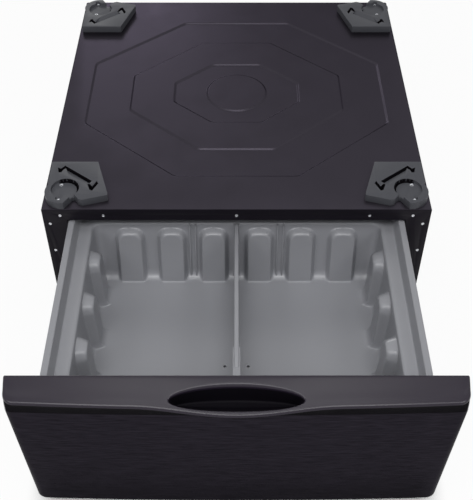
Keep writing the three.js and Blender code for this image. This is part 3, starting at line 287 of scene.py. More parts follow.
def refined(name, node, body, slot, width_mm, segments=2):
    """A CAD piece with its edges rounded."""
    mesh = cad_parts[node].data.copy()
    mesh.materials.clear()
    work = bmesh.new()
    work.from_mesh(mesh)
    bmesh.ops.remove_doubles(work, verts=work.verts, dist=1e-6)
    bmesh.ops.dissolve_limit(work, angle_limit=math.radians(1), verts=work.verts, edges=work.edges)
    work.to_mesh(mesh)
    work.free()
    obj = smooth(round_edges(link(name, mesh), width_mm, segments))
    return settle(obj, body, slot, node)


def closed_wall(outer, inner, faces):
    """The points and faces of a closed wall between two matching skins."""
    count = len(outer)
    directed = {(a, b) for face in faces for a, b in zip(face, face[1:] + face[:1])}
    border = [(a, b) for a, b in directed if (b, a) not in directed]
    inside = [tuple(count + i for i in reversed(face)) for face in faces]
    edge = [(b, a, count + a, count + b) for a, b in border]
    return list(outer) + list(inner), list(faces) + inside + edge


def grid_faces(rows, columns, wrap):
    """Quads of a grid whose points are listed row by row."""
    across = columns if wrap else columns - 1
    return [
        (r * columns + c, r * columns + (c + 1) % columns,
         (r + 1) * columns + (c + 1) % columns, (r + 1) * columns + c)
        for r in range(rows - 1)
        for c in range(across)
    ]


def solid_faces(rows, count):
    """The faces of a closed solid whose rings of points are listed one after the other."""
    last = (rows - 1) * count
    ends = [tuple(reversed(range(count))), tuple(range(last, last + count))]
    return grid_faces(rows, count, True) + ends


def smoothstep(t):
    t = min(1.0, max(0.0, t))
    return t * t * (3 - 2 * t)


def lerp(a, b, t):
    return a + (b - a) * t


def arc(start, end, steps):
    """Angles from start to end in degrees, as radians."""
    return [math.radians(lerp(start, end, i / steps)) for i in range(steps + 1)]


def full_turn(count):
    """Angles spread evenly round a circle."""
    return [i * math.tau / count for i in range(count)]


def join(name, *objects):
    """Several finished objects as one mesh object."""
    work = bmesh.new()
    for obj in objects:
        work.from_mesh(obj.data)
        bpy.data.objects.remove(obj)
    return object_of(name, work)


def bar(x0, x1, y0, y1, z0, z1):
    """The points and faces of a straight bar."""
    points = [(x, y, z) for z in (z0, z1) for y in (y0, y1) for x in (x0, x1)]
    faces = [(0, 2, 3, 1), (4, 5, 7, 6), (0, 1, 5, 4), (2, 6, 7, 3), (0, 4, 6, 2), (1, 3, 7, 5)]
    return points, faces


def along_x(profile, x0, x1):
    """A profile in Y and Z run from x0 to x1, as points and faces."""
    points = [(x, y, z) for x in (x0, x1) for y, z in profile]
    return points, solid_faces(2, len(profile))


def turned(profile, x, y, sides=48):
    """A profile of radius and height turned about a vertical axis, as points and faces."""
    points = []
    for radius, height in profile:
        points += [
            (x + radius * math.cos(a), y + radius * math.sin(a), height)
            for a in full_turn(sides)
        ]
    return points, solid_faces(len(profile), sides)


# ---- deck
STEP_DEPTH = 2.5
STEP_CENTRE = 339
STEP_WIDTH = 5.0
STEP_ROWS = 8
STEP_REST = 0.5
SHEET = 1.5
BEND = 2.5
SKIRT = 18
SKIRT_GAP = 0.3
DECK_LENGTH = 678
DECK_CORNER = 4
CORNER_ROUND = 6
CORNER_STEPS = 6
CIRCLE_SIDES = 96


def octagon(half_x, half_y, end_half, side_half, inset):
    """An octagon's outline drawn in by an inset, with its eight corners rounded."""
    lean = math.atan2(half_y - side_half, half_x - end_half)
    x, y = half_x - inset, half_y - inset
    end = end_half - inset * math.tan(lean / 2)
    side = side_half - inset * math.tan(math.pi / 4 - lean / 2)
    corners = [Vector(c) for c in (
        (x, -side), (x, side), (end, y), (-end, y), (-x, side), (-x, -side), (-end, -y), (end, -y)
    )]
    loop = []
    for i, corner in enumerate(corners):
        before = (corners[i - 1] - corner).normalized() * CORNER_ROUND
        after = (corners[(i + 1) % 8] - corner).normalized() * CORNER_ROUND
        for k in range(CORNER_STEPS + 1):
            t = k / CORNER_STEPS
            point = corner + before * (1 - t) ** 2 + after * t**2
            loop.append((point.x, point.y + STEP_CENTRE))
    return loop


def circle(radius, inset):
    return [
        ((radius - inset) * math.cos(a), (radius - inset) * math.sin(a) + STEP_CENTRE)
        for a in full_turn(CIRCLE_SIDES)
    ]


# each outline, and whether the sheet steps down or up inside it
PRESSINGS = [
    (lambda inset: octagon(296.5, 254, 113.7, 99.6, inset), -1),
    (lambda inset: octagon(212.7, 178.3, 73, 58.5, inset), 1),
    (lambda inset: octagon(127, 98, 49.5, 32, inset), -1),
    (lambda inset: circle(62, inset), 1),
]


def deck_border(inset):
    """The deck's outline from the front left round the back to the front right."""
    reach, back, radius = HALF_WIDTH - inset, DECK_LENGTH - inset, DECK_CORNER - inset
    left = [
        (-reach + radius - radius * math.sin(a), back - radius + radius * math.cos(a))
        for a in arc(90, 0, 6)
    ]
    right = [(-x, y) for x, y in reversed(left)]
    return [(-reach, 0)] + left + right + [(reach, 0)]


def make_deck():
    work = bmesh.new()

    def loop_of(points, z):
        return [work.verts.new(Vector((x, y + FRONT_Y, z)) * MM) for x, y in points]

    def edges_of(loop):
        pairs = zip(loop, loop[1:] + loop[:1])
        return [work.edges.get(pair) or work.edges.new(pair) for pair in pairs]

    def fill(*loops):
        edges = [edge for loop in loops for edge in edges_of(loop)]
        bmesh.ops.triangle_fill(work, use_beauty=True, edges=edges)

    def bridge(a, b, closed):
        for i in range(len(a) if closed else len(a) - 1):
            j = (i + 1) % len(a)
            work.faces.new((a[i], a[j], b[j], b[i]))

    border = loop_of(deck_border(BEND), DECK_Z)
    outer = loop_of(deck_border(BEND + STEP_REST), DECK_Z)
    bridge(outer, border, closed=False)
    level = DECK_Z
    for outline, rise in PRESSINGS:
        rows = [loop_of(outline(-STEP_REST), level)]
        for i in range(STEP_ROWS + 1):
            t = i / STEP_ROWS
            z = level + rise * STEP_DEPTH * smoothstep(t)
            rows.append(loop_of(outline(STEP_WIDTH * t), z))
        rows.append(loop_of(outline(STEP_WIDTH + STEP_REST), z))
        fill(outer, rows[0])
        for a, b in zip(rows, rows[1:]):
            bridge(a, b, closed=True)
        outer = rows[-1]
        level += rise * STEP_DEPTH
    fill(outer)
    above = border
    edge = [(BEND * (1 - math.sin(a)), BEND * (1 - math.cos(a)), 0) for a in arc(15, 90, 5)]
    edge += [(0, drop, SHEET + SKIRT_GAP) for drop in (BEND + 1, SKIRT)]
    for inset, drop, start in edge:
        points = deck_border(inset)
        points[0] = (points[0][0], start)
        points[-1] = (points[-1][0], start)
        below = loop_of(points, DECK_Z - drop)
        bridge(above, below, closed=False)
        above = below
    face_up(work)
    obj = object_of("deck", work)
    modify(obj, "SOLIDIFY", thickness=SHEET * MM, offset=-1.0, use_even_offset=True)
    smooth(round_edges(obj, 0.35, 2, 70), 40)
    settle(obj, "cabinet", "cabinet_paint", "top_panel")


make_deck()

# ---- cabinet pieces with rounded edges
refined("front_opening_frame", "front_frame", "cabinet", "frame_paint", 0.4)
refined("rear_panel", "back_panel", "cabinet", "cabinet_paint", 0.3)
refined("base_angle_frame", "base_frame", "cabinet", "frame_paint", 0.5)
for place in ("front", "rear"):
    refined(f"brace_{place}", f"deck_brace_{place}", "cabinet", "frame_paint", 0.4)
for side in ("left", "right"):
    refined(f"side_sheet_{side}", f"side_panel_{side}", "cabinet", "cabinet_paint", 0.3)
    refined(f"mount_channel_{side}", f"slide_mount_{side}", "cabinet", "galvanised_sheet", 0.4)
    refined(f"slide_fixed_{side}", f"slide_outer_{side}", "cabinet", "zinc_steel", 0.25)
    refined(f"slide_middle_{side}", f"slide_mid_{side}", f"mid_slide_{side}", "zinc_steel", 0.25)
    refined(f"slide_moving_{side}", f"slide_inner_{side}", "drawer", "zinc_steel", 0.25)
    refined(f"tub_carrier_{side}", f"drawer_carrier_{side}", "drawer", "galvanised_sheet", 0.4)
    refined(f"rubber_stop_{side}", f"bumper_{side}", "drawer", "dark_rubber", 0.3)
CORNERS = ("front_left", "front_right", "rear_left", "rear_right")
SLOT_FLOOR = DECK_Z + 3.3


def paint_deep_shade(obj, is_deep):
    """Paints the faces deep in a recess a dull black, as painted shade."""
    obj.data.materials.append(PAINTED_DEEP_SHADE)
    for face in obj.data.polygons:
        heights = [obj.data.vertices[i].co.z / MM for i in face.vertices]
        if is_deep(heights, face.center / MM):
            face.material_index = 1


for corner in CORNERS:
    bracket = refined(
        f"corner_bracket_{corner}", f"foot_bracket_{corner}", "cabinet", "bracket_plastic", 0.7, 3
    )
    # the faces at the floor of each slot get painted shade
    paint_deep_shade(bracket, lambda heights, middle: abs(min(heights) - SLOT_FLOOR) < 1)
    refined(f"lock_nut_{corner}", f"foot_nut_{corner}", "cabinet", "zinc_steel", 0.5)


# ---- screws
def make_tree(name, sizes, vectors=()):
    """A geometry tree with a mesh going in and out and named sizes."""
    tree = bpy.data.node_groups.new(name, "GeometryNodeTree")
    inputs = [("Geometry", "Geometry")] + [(label, "Float") for label in sizes]
    for label, kind in inputs + [(label, "Vector") for label in vectors]:
        tree.interface.new_socket(label, in_out="INPUT", socket_type="NodeSocket" + kind)
    tree.interface.new_socket("Geometry", in_out="OUTPUT", socket_type="NodeSocketGeometry")
    return tree, add_node(tree, "NodeGroupInput").outputs


def end_tree(tree, geometry, material):
    """Closes a tree with real geometry in one material."""
    real = made(tree, "GeometryNodeRealizeInstances", {0: geometry})
    coated = made(tree, "GeometryNodeSetMaterial", {"Geometry": real, "Material": material})
    add_node(tree, "NodeGroupOutput", {0: coated})


def grow(obj, tree, values):
    """Runs a geometry tree on an object with its sizes set, and keeps the result as a mesh."""
    modifier = obj.modifiers.new(tree.name, "NODES")
    modifier.node_group = tree
    for item in tree.interface.items_tree:
        if item.in_out == "INPUT" and item.name in values:
            modifier[item.identifier] = values[item.name]
    return bake(obj)


def lifted(tree, geometry, height):
    lift = made(tree, "ShaderNodeCombineXYZ", {"Z": height})
    return made(tree, "GeometryNodeTransform", {"Geometry": geometry, "Translation": lift})


SCREW_SKIRT = 0.35
SCREW_CROWN = 0.55
RECESS_WIDTH = 0.26
RECESS_LENGTH = 1.1


def screw_tree():
    """A cross-recess screw on each point of the mesh, with its head along the given axis."""
    sizes = ["Head radius", "Head height", "Seat gap", "Shank radius", "Shank length"]
    tree, given = make_tree("screws_on_points", sizes, ["Axis"])
    skirt_height = calc(tree, "MULTIPLY", given["Head height"], SCREW_SKIRT)
    dome_height = calc(tree, "MULTIPLY", given["Head height"], 1 - SCREW_SKIRT)
    crown_radius = calc(tree, "MULTIPLY", given["Head radius"], SCREW_CROWN)

    def lathe_part(bottom, top, depth, base):
        cone = add_node(
            tree,
            "GeometryNodeMeshCone",
            {"Vertices": 32, "Radius Top": top, "Radius Bottom": bottom, "Depth": depth},
        ).outputs["Mesh"]
        return lifted(tree, cone, base)

    skirt = lathe_part(given["Head radius"], given["Head radius"], skirt_height, given["Seat gap"])
    dome = lathe_part(
        given["Head radius"], crown_radius, dome_height,
        calc(tree, "ADD", given["Seat gap"], skirt_height),
    )
    total = calc(tree, "ADD", given["Shank length"], given["Seat gap"])
    shank = lathe_part(
        given["Shank radius"], given["Shank radius"], total,
        calc(tree, "MULTIPLY", given["Shank length"], -1.0),
    )
    width = calc(tree, "MULTIPLY", given["Head radius"], RECESS_WIDTH)
    length = calc(tree, "MULTIPLY", given["Head radius"], RECESS_LENGTH)
    crown = calc(tree, "ADD", given["Seat gap"], given["Head height"])

    def recess(x, y):
        size = made(tree, "ShaderNodeCombineXYZ", {"X": x, "Y": y, "Z": given["Head height"]})
        cube = add_node(tree, "GeometryNodeMeshCube", {"Size": size}).outputs["Mesh"]
        return lifted(tree, cube, crown)

    parts = {"Mesh 2": [skirt, dome, shank]}
    head = made(tree, "GeometryNodeMeshBoolean", parts, operation="UNION")
    cuts = {"Mesh 1": head, "Mesh 2": [recess(width, length), recess(length, width)]}
    screw = made(tree, "GeometryNodeMeshBoolean", cuts, operation="DIFFERENCE")
    turn = made(tree, "FunctionNodeAlignRotationToVector", {"Vector": given["Axis"]}, axis="Z")
    placed = made(
        tree,
        "GeometryNodeInstanceOnPoints",
        {"Points": given["Geometry"], "Instance": screw, "Rotation": turn},
    )
    end_tree(tree, placed, FINISHES["zinc_steel"])
    return tree


SCREWS = screw_tree()
SCREW_SIZES = {"Head height": 1.6 * MM, "Seat gap": 0.3 * MM, "Shank radius": 1.9 * MM}


def make_screws(name, nodes, axis, head_radius_mm, length_mm):
    """Screws on the seats of the CAD screws: the seat is the shank's length in from the tip."""
    axis = Vector(axis)
    seats = []
    for node in nodes:
        low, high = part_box(node)
        middle = (low + high) / 2
        tip = low if max(axis) > 0 else high
        seat = Vector(
            tip[i] + axis[i] * length_mm * MM if axis[i] else middle[i] for i in range(3)
        )
        seats.append(seat)
    mesh = bpy.data.meshes.new(name)
    mesh.from_pydata(seats, [], [])
    own = {"Head radius": head_radius_mm * MM, "Shank length": length_mm * MM, "Axis": axis}
    sizes = dict(SCREW_SIZES, **own)
    obj = smooth(grow(link(name, mesh), SCREWS, sizes), 30)
    settle(obj, "cabinet", "zinc_steel", *nodes)


make_screws(
    "bracket_screws", [f"bracket_screw_{corner}_{i}" for corner in CORNERS for i in (1, 2)],
    (0, 0, 1), head_radius_mm=3.2, length_mm=14,
)
make_screws(
    "frame_screws", [f"frame_screw_{i}" for i in range(1, 14)],
    (0, -1, 0), head_radius_mm=2.8, length_mm=7,
)


# ---- levelling feet
def thread_tree():
    """Adds a screw thread round the vertical axis through the mesh's own middle."""
    sizes = ["Stud radius", "Thread depth", "Turns", "Threaded length"]
    tree, given = make_tree("thread_round_stud", sizes, ["Start"])
    run = {"Resolution": 20, "Rotations": given["Turns"], "Height": given["Threaded length"]}
    radii = dict.fromkeys(("Start Radius", "End Radius"), given["Stud radius"])
    helix = made(tree, "GeometryNodeCurveSpiral", {**run, **radii})
    outline = {"Resolution": 4, "Radius": given["Thread depth"]}
    section = made(tree, "GeometryNodeCurvePrimitiveCircle", outline)
    swept = {"Curve": helix, "Profile Curve": section, "Fill Caps": True}
    ridge = made(tree, "GeometryNodeCurveToMesh", swept)
    placed = made(
        tree, "GeometryNodeTransform", {"Geometry": ridge, "Translation": given["Start"]}
    )
    whole = made(tree, "GeometryNodeJoinGeometry", {0: [given["Geometry"], placed]})
    end_tree(tree, whole, FINISHES["dark_rubber"])
    return tree


THREAD = thread_tree()
THREAD_SIZES = {
    "Stud radius": 5 * MM, "Thread depth": 0.45 * MM, "Turns": 27.0, "Threaded length": 40 * MM,
}
THREAD_FOOT = 16.5
FOOT_PROFILE = [
    (0.5, 0), (18, 0), (19.3, 0.6), (20, 1.8), (20, 4), (19.2, 5.4), (16, 7), (10.5, 7.4),
    (9.2, 8.4), (9, 9.4), (9, 14), (8, 15), (5, 15), (5, 56.8), (4, 58), (0.5, 58),
]
for corner in CORNERS:
    node = f"levelling_foot_{corner}"
    low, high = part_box(node)
    middle = (low + high) / 2 / MM
    foot = build(f"foot_{corner}", *turned(FOOT_PROFILE, middle.x, middle.y))
    start = Vector((middle.x, middle.y, THREAD_FOOT)) * MM
    grow(foot, THREAD, dict(THREAD_SIZES, Start=start))
    settle(smooth(foot), f"foot_{corner}", "dark_rubber", node)

# ---- tub
RIM_X = TUB_HIGH.x
RIM_Y = (TUB_HIGH.y - TUB_LOW.y) / 2
RIM_CENTRE = (TUB_LOW.y + TUB_HIGH.y) / 2
RIM_Z = TUB_HIGH.z
RIM_STRIP = 11
STEP_LEAN = 4
RIM_RADIUS = 22
LEDGE = 27.5
FRONT_LEDGE = 14.6
LEDGE_Z = RIM_Z - 28
WALL_DEPTH = 122
FLOOR_Z = LEDGE_Z - WALL_DEPTH
WALL_X = RIM_X - RIM_STRIP - LEDGE
WALL_Y = RIM_Y - RIM_STRIP - (LEDGE + FRONT_LEDGE) / 2
WALL_CENTRE = RIM_CENTRE - (LEDGE - FRONT_LEDGE) / 2
DRAFT_X = 5.5
DRAFT_Y = 20
RADIUS_TOP = 14
RADIUS_FLOOR = 16
FLOOR_FILLET = 16
SIDE_FILLET = 10
TUB_WALL = 3
FLAT_EDGE = 3
WALL_TOP = 9
RIM_BENDS = [0, 1.5, 2.5, 3, 8, 0]
DRAIN_X, DRAIN_FORWARD, DRAIN_RADIUS = 20.3, 56, 2.5
DRAIN_SIDES = 20
GUIDE_TOP, GUIDE_DEPTH, GUIDE_THICK, GUIDE_PLAY = 2, 5, 2, 0.3
GUIDE_PLACES = (-80.3, 0, 80.3)
DIVIDER_THICK = {-1: 12.1, 1: 7.5}
NO_RIB = (999, 1, 0, 0)
RIB_DROP = 10
RIB_CORNER = 23
RIB_DOME = 8
RIB_FLANK = 9
RIB_STEPS = [-1, 0] + [k * 0.9 for k in range(1, 12)] + [12.5, 16]
RIB_BLEND = 0.6
LONGEST_STEP = 9
SIDE_RIBS = {
    "middles": [-96, 0, 96],
    "shift": 5, "half": 26.5, "stand": 16, "lean": 2.5, "foot": FLOOR_FILLET,
}
END_RIBS = {
    "middles": [side * middle for side in (-1, 1) for middle in (42, 118.6, 195.2)],
    "shift": 0, "half": 28.5, "stand": 15, "lean": -3, "foot": 2.5,
}


def tub_level(drop):
    """The wall's half sizes, corner radius, height and middle at a depth under the ledge."""
    share = drop / WALL_DEPTH
    return (
        WALL_X - DRAFT_X * share,
        WALL_Y - DRAFT_Y * share,
        lerp(RADIUS_TOP, RADIUS_FLOOR, share),
        LEDGE_Z - drop,
        WALL_CENTRE,
    )


def softened(points, setbacks, steps=5):
    """A run of levels with its bends rounded."""
    out = [points[0]]
    for i in range(1, len(points) - 1):
        here, before, after = points[i], points[i - 1], points[i + 1]

        def towards(other):
            span = math.hypot(other[0] - here[0], other[3] - here[3])
            return min(0.5, setbacks[i] / max(span, 1e-6))

        for k in range(steps + 1):
            t = k / steps
            a, b = (1 - t) ** 2 * towards(before), t**2 * towards(after)
            out.append(tuple(
                h + (p - h) * a + (n - h) * b for h, p, n in zip(here, before, after)
            ))
    return out + [points[-1]]


def tub_levels():
    def rim(inset, z):
        return (RIM_X - inset, RIM_Y - inset, RIM_RADIUS - inset, z, RIM_CENTRE)

    upper = softened(
        [
            rim(0, RIM_Z - TUB_WALL),
            rim(0, RIM_Z),
            rim(RIM_STRIP, RIM_Z),
            rim(RIM_STRIP + STEP_LEAN, LEDGE_Z),
            tub_level(0),
            tub_level(WALL_TOP),
        ],
        RIM_BENDS,
    )
    drops = [RIB_DROP + k for k in [*range(13), 15, 18, 22]]
    drops += [40 + 9 * i for i in range(8)]
    foot = WALL_DEPTH - FLOOR_FILLET
    wall = [tub_level(drop) for drop in drops if drop < foot]
    fillet = []
    for a in arc(0, 90, 8):
        x, y, radius, _, middle = tub_level(foot + FLOOR_FILLET * math.sin(a))
        sink = 1 - math.cos(a)
        side = SIDE_FILLET * sink
        z = FLOOR_Z + FLOOR_FILLET * (1 - math.sin(a))
        fillet.append((x - side, y - FLOOR_FILLET * sink, radius - side, z, middle))
    x, y, radius, z, middle = fillet[-1]
    fillet.append((x - FLAT_EDGE, y - FLAT_EDGE, radius - FLAT_EDGE, z, middle))
    return upper + wall + fillet


def fillet_reach(z, radius):
    """How far a fillet of this radius at the floor reaches in at a height."""
    rise = min(z - FLOOR_Z, radius)
    return radius - math.sqrt(radius**2 - (radius - rise) ** 2)


def rib_stations(middles, ribs, straight):
    """Places along a wall, close together where a rib's flank rises."""
    places = {-straight, straight}
    for middle in middles:
        places.update(middle - ribs["half"] + step for step in RIB_STEPS)
        places.update(middle + ribs["half"] - step for step in RIB_STEPS)
        places.add(middle)
    inside = sorted(p for p in places if abs(p) <= straight)
    wide = [(a, b) for a, b in zip(inside, inside[1:]) if b - a > LONGEST_STEP]
    return sorted(inside + [(a + b) / 2 for a, b in wide])


def wall_points(level, out, ribs, straight, corner_steps=9):
    """One wall's points at a level, each with what the rib press needs to know there."""
    half_x, half_y, radius, z, centre = level
    reach, along = (half_x, half_y) if out.x else (half_y, half_x)
    side = Vector((-out.y, out.x))
    middles = [middle + ribs["shift"] * side.y for middle in ribs["middles"]]
    hold = max(ribs["middles"]) + ribs["shift"] + ribs["half"] + 1
    stretch = (along - radius - hold) / (straight - hold)
    share = max(0.0, LEDGE_Z - z) / WALL_DEPTH
    depth = ribs["lean"] * (1 - share) + ribs["stand"]
    depth += fillet_reach(z, ribs["foot"]) - fillet_reach(z, FLOOR_FILLET)
    for s in rib_stations(middles, ribs, straight):
        past = max(0.0, abs(s) - hold)
        place = math.copysign(min(abs(s), hold) + past * stretch, s)
        flat = out * reach + side * place
        across = min(abs(place - middle) for middle in middles)
        yield (flat.x, flat.y + centre, z), (across, ribs["half"], depth, LEDGE_Z - z - RIB_DROP)
    for k in range(1, corner_steps):
        a = k / corner_steps * math.pi / 2
        flat = out * (reach - radius + radius * math.cos(a))
        flat += side * (along - radius + radius * math.sin(a))
        yield (flat.x, flat.y + centre, z), NO_RIB


def make_tub():
    walls = [
        (Vector((1, 0)), SIDE_RIBS, WALL_Y - RADIUS_TOP),
        (Vector((0, 1)), END_RIBS, WALL_X - RADIUS_TOP),
        (Vector((-1, 0)), SIDE_RIBS, WALL_Y - RADIUS_TOP),
        (Vector((0, -1)), END_RIBS, WALL_X - RADIUS_TOP),
    ]
    work = bmesh.new()
    inward = work.verts.layers.float_vector.new("inward")
    marks_kept = ("across", "half_width", "depth", "below_top")
    layers = [work.verts.layers.float.new(name) for name in marks_kept]
    levels = tub_levels()
    for level in levels:
        for out, ribs, straight in walls:
            for point, marks in wall_points(level, out, ribs, straight):
                vertex = work.verts.new(Vector(point) * MM)
                vertex[inward] = -out.to_3d()
                for layer, value in zip(layers, marks):
                    vertex[layer] = value * MM
    work.verts.ensure_lookup_table()
    columns = len(work.verts) // len(levels)
    for face in grid_faces(len(levels), columns, True):
        work.faces.new([work.verts[i] for i in face])
    skin = object_of("tub_skin", work)
    sizes = {"Corner radius": RIB_CORNER * MM, "Flank": RIB_FLANK * MM, "Dome": RIB_DOME * MM}
    obj = grow(skin, rib_tree(), sizes)
    lay_floor(obj.data)
    modify(obj, "SOLIDIFY", thickness=TUB_WALL * MM, offset=-1.0)
    return smooth(bake(obj), 50)


def lay_floor(mesh):
    """Closes the pressed walls with a flat floor that has two drain holes."""
    work = bmesh.new()
    work.from_mesh(mesh)

    def on_floor(edge):
        return edge.is_boundary and all(abs(v.co.z / MM - FLOOR_Z) < 0.01 for v in edge.verts)

    edges = [edge for edge in work.edges if on_floor(edge)]
    for side in (-1, 1):
        ring = []
        for a in full_turn(DRAIN_SIDES):
            x = side * DRAIN_X + DRAIN_RADIUS * math.cos(a)
            y = WALL_CENTRE - DRAIN_FORWARD + DRAIN_RADIUS * math.sin(a)
            ring.append(work.verts.new(Vector((x, y, FLOOR_Z)) * MM))
        edges += [work.edges.new(pair) for pair in zip(ring, ring[1:] + ring[:1])]
    bmesh.ops.triangle_fill(work, use_beauty=True, edges=edges)
    face_up(work)
    work.to_mesh(mesh)
    work.free()


def rib_tree():
    """Presses the ribs into the wall: rounded panels with sloping flanks and domed tops."""
    tree, given = make_tree("ribs_in_wall", ["Corner radius", "Flank", "Dome"])

    def mark(name, kind="FLOAT"):
        node = add_node(tree, "GeometryNodeInputNamedAttribute", {"Name": name}, data_type=kind)
        return node.outputs["Attribute"]

    radius = given["Corner radius"]
    flat_half = calc(tree, "SUBTRACT", mark("half_width"), radius)
    over = calc(tree, "SUBTRACT", mark("across"), flat_half)
    above = calc(tree, "SUBTRACT", radius, mark("below_top"))
    over_out = calc(tree, "MAXIMUM", over, 0.0)
    above_out = calc(tree, "MAXIMUM", above, 0.0)
    squares = [calc(tree, "POWER", value, 2.0) for value in (over_out, above_out)]
    outside = calc(tree, "SQRT", calc(tree, "ADD", *squares))
    inside = calc(tree, "MINIMUM", calc(tree, "MAXIMUM", over, above), 0.0)
    within = calc(tree, "SUBTRACT", radius, calc(tree, "ADD", outside, inside))
    flank = spread(tree, within, 0.0, given["Flank"], blend="SMOOTHSTEP")
    dome = calc(tree, "SINE", spread(tree, within, 0.0, given["Dome"], 0.0, math.pi / 2))
    edges = [calc(tree, "MULTIPLY", radius, share) for share in (-RIB_BLEND, RIB_BLEND)]
    at_top = spread(tree, calc(tree, "SUBTRACT", above, over), *edges, blend="SMOOTHSTEP")
    rise = made(tree, "ShaderNodeMix", {0: at_top, 2: flank, 3: dome})
    push = calc(tree, "MULTIPLY", rise, mark("depth"))
    inward = mark("inward", "FLOAT_VECTOR")
    offset = made(tree, "ShaderNodeVectorMath", {0: inward, 3: push}, operation="SCALE")
    moved = made(
        tree, "GeometryNodeSetPosition", {"Geometry": given["Geometry"], "Offset": offset}
    )
    end_tree(tree, moved, FINISHES["tub_plastic"])
    return tree


def make_guides():
    """The thin upright ribs on the webs that hold the divider."""
    parts = []
    toe, web = WALL_Y - DRAFT_Y, WALL_Y - DRAFT_Y * GUIDE_TOP / WALL_DEPTH
    low, high, into_wall = FLOOR_Z - 1, LEDGE_Z - GUIDE_TOP, TUB_WALL / 2
    profile = [
        (toe - GUIDE_DEPTH, low), (toe + into_wall, low),
        (web + into_wall, high), (web - GUIDE_DEPTH, high),
    ]
    for end, thick in DIVIDER_THICK.items():
        clear = thick / 2 + GUIDE_PLAY
        shifted = [(WALL_CENTRE + end * y, z) for y, z in profile]
        for middle in GUIDE_PLACES:
            for x in (middle + clear, middle - clear - GUIDE_THICK):
                part = build("guide", *along_x(shifted, x, x + GUIDE_THICK))
                parts.append(smooth(round_edges(part, 0.5, 2)))
    return parts


settle(join("tub_moulding", make_tub(), *make_guides()), "drawer", "tub_plastic", "drawer_tub")
refined("divider_wall", "divider", "drawer", "tub_plastic", 1.2, 3)
refined("divider_sleeve", "divider_front_sleeve", "drawer", "tub_plastic", 0.6, 3)

# ---- drawer front: face
FACE_BOTTOM = FACE_LOW.z
FACE_TOP = FACE_HIGH.z - 3
FACE_CORNER = 13
FACE_OUTLINE_RADIUS = 12
FACE_FOLD = 2.5
FACE_MIDDLE_REACH = (42, 16.5)
FACE_SIDE_REACH = (30, 3)
FACE_BOW = 5.7
FACE_SHEET = 1
FACE_FOOT = 16
FOOT_LEVELS = (14, 12, 10, 8, 6, 4.5, 3.2, 2, 1.2, 0.5)
FOLD_RISE = 6
LEAST_REACH = 0.2
FLANGE = 15


def face_reach(x, z, inset=0.0, half=HALF_WIDTH):
    """The face's distance ahead of the back of the drawer front."""
    share = (FACE_TOP - z) / (FACE_TOP - FACE_BOTTOM)
    middle = lerp(*FACE_MIDDLE_REACH, share) - inset
    side = lerp(*FACE_SIDE_REACH, share)
    start = half - FACE_CORNER
    flat = middle - FACE_BOW * (min(abs(x), start) / HALF_WIDTH) ** 2
    past = abs(x) - start
    if past <= 0:
        return flat
    return side + (flat - side) * math.sqrt(max(0.0, 1 - (past / (FACE_CORNER - inset)) ** 2))


def face_half(z):
    """Half the face's width at a height, less in its two rounded lower corners."""
    rise = z - FACE_BOTTOM
    if rise >= FACE_OUTLINE_RADIUS:
        return HALF_WIDTH
    short = FACE_OUTLINE_RADIUS - rise
    return HALF_WIDTH - FACE_OUTLINE_RADIUS + math.sqrt(FACE_OUTLINE_RADIUS**2 - short**2)


def face_stations():
    """Shares of the way across: flat in the middle, close together in the rounded corners."""
    flat = [("flat", i / 12) for i in range(-12, 13)]
    corner = [("corner", math.sin(a)) for a in arc(0, 90, 10)[1:]]
    left = [(kind, -t) for kind, t in reversed(corner)]
    return left + flat + corner


def face_skin(inset):
    heights = [lerp(FACE_BOTTOM + FACE_FOOT, FACE_TOP, i / 16) for i in range(16, -1, -1)]
    heights += [FACE_BOTTOM + rise for rise in FOOT_LEVELS]
    rows = []
    for z in heights:
        half = face_half(z)
        start = half - FACE_CORNER
        row = []
        for kind, t in face_stations():
            x = start * t if kind == "flat" else math.copysign(start + FACE_CORNER * abs(t), t)
            reach = face_reach(x, z, 0, half)
            fold = FACE_FOLD * (1 - smoothstep((z - FACE_BOTTOM) / FOLD_RISE) ** 0.5)
            row.append((x, -max(LEAST_REACH, reach - fold), z))
        rows.append([(-half, 0, z)] + row + [(half, 0, z)])
    lowest = rows[-1]
    for share in (0.9, 0.6, 0.3, 0):
        rows.append([(x, y * share, FACE_BOTTOM) for x, y, _ in lowest])
    reach = HALF_WIDTH - FACE_CORNER
    out = []
    for row in rows:
        for x, y, z in row:
            inner_x = x - math.copysign(min(inset, abs(x)), x) if abs(x) > reach - 1 else x
            out.append((inner_x, min(0, y + inset) + DRAWER_Y, max(z, FACE_BOTTOM + inset)))
    return out, len(rows), len(rows[0])


def make_face():
    outer, rows, columns = face_skin(0)
    inner, _, _ = face_skin(FACE_SHEET)
    wall = closed_wall(outer, inner, grid_faces(rows, columns, False))
    parts = [smooth(build("face", *wall), 40)]
    reach, depth = HALF_WIDTH - FACE_SHEET, DRAWER_Y - FACE_SHEET
    low, short = FACE_BOTTOM + FACE_OUTLINE_RADIUS, reach - FACE_OUTLINE_RADIUS
    for x0, x1, z0, z1 in (
        (-reach, -reach + FLANGE, low, FACE_TOP),
        (reach - FLANGE, reach, low, FACE_TOP),
        (-short, short, FACE_BOTTOM + FACE_SHEET, low),
    ):
        flange = build("flange", *bar(x0, x1, depth, DRAWER_Y, z0, z1))
        parts.append(smooth(round_edges(flange, 0.2, 1)))
    settle(join("front_face", *parts), "drawer", "brushed_dark_steel", "drawer_front_skin")


make_face()
refined("front_backing", "front_backing_panel", "drawer", "galvanised_sheet", 0.4)

# ---- drawer front: cap and finger pocket
LIP_RADIUS = 20
LIP_END = HALF_WIDTH - LIP_RADIUS
# share of the way to the lip, and height over the deck
CROWN = [(0, 3), (0.08, 3.4), (0.45, -1), (0.75, -5.6), (0.92, -7.6)]
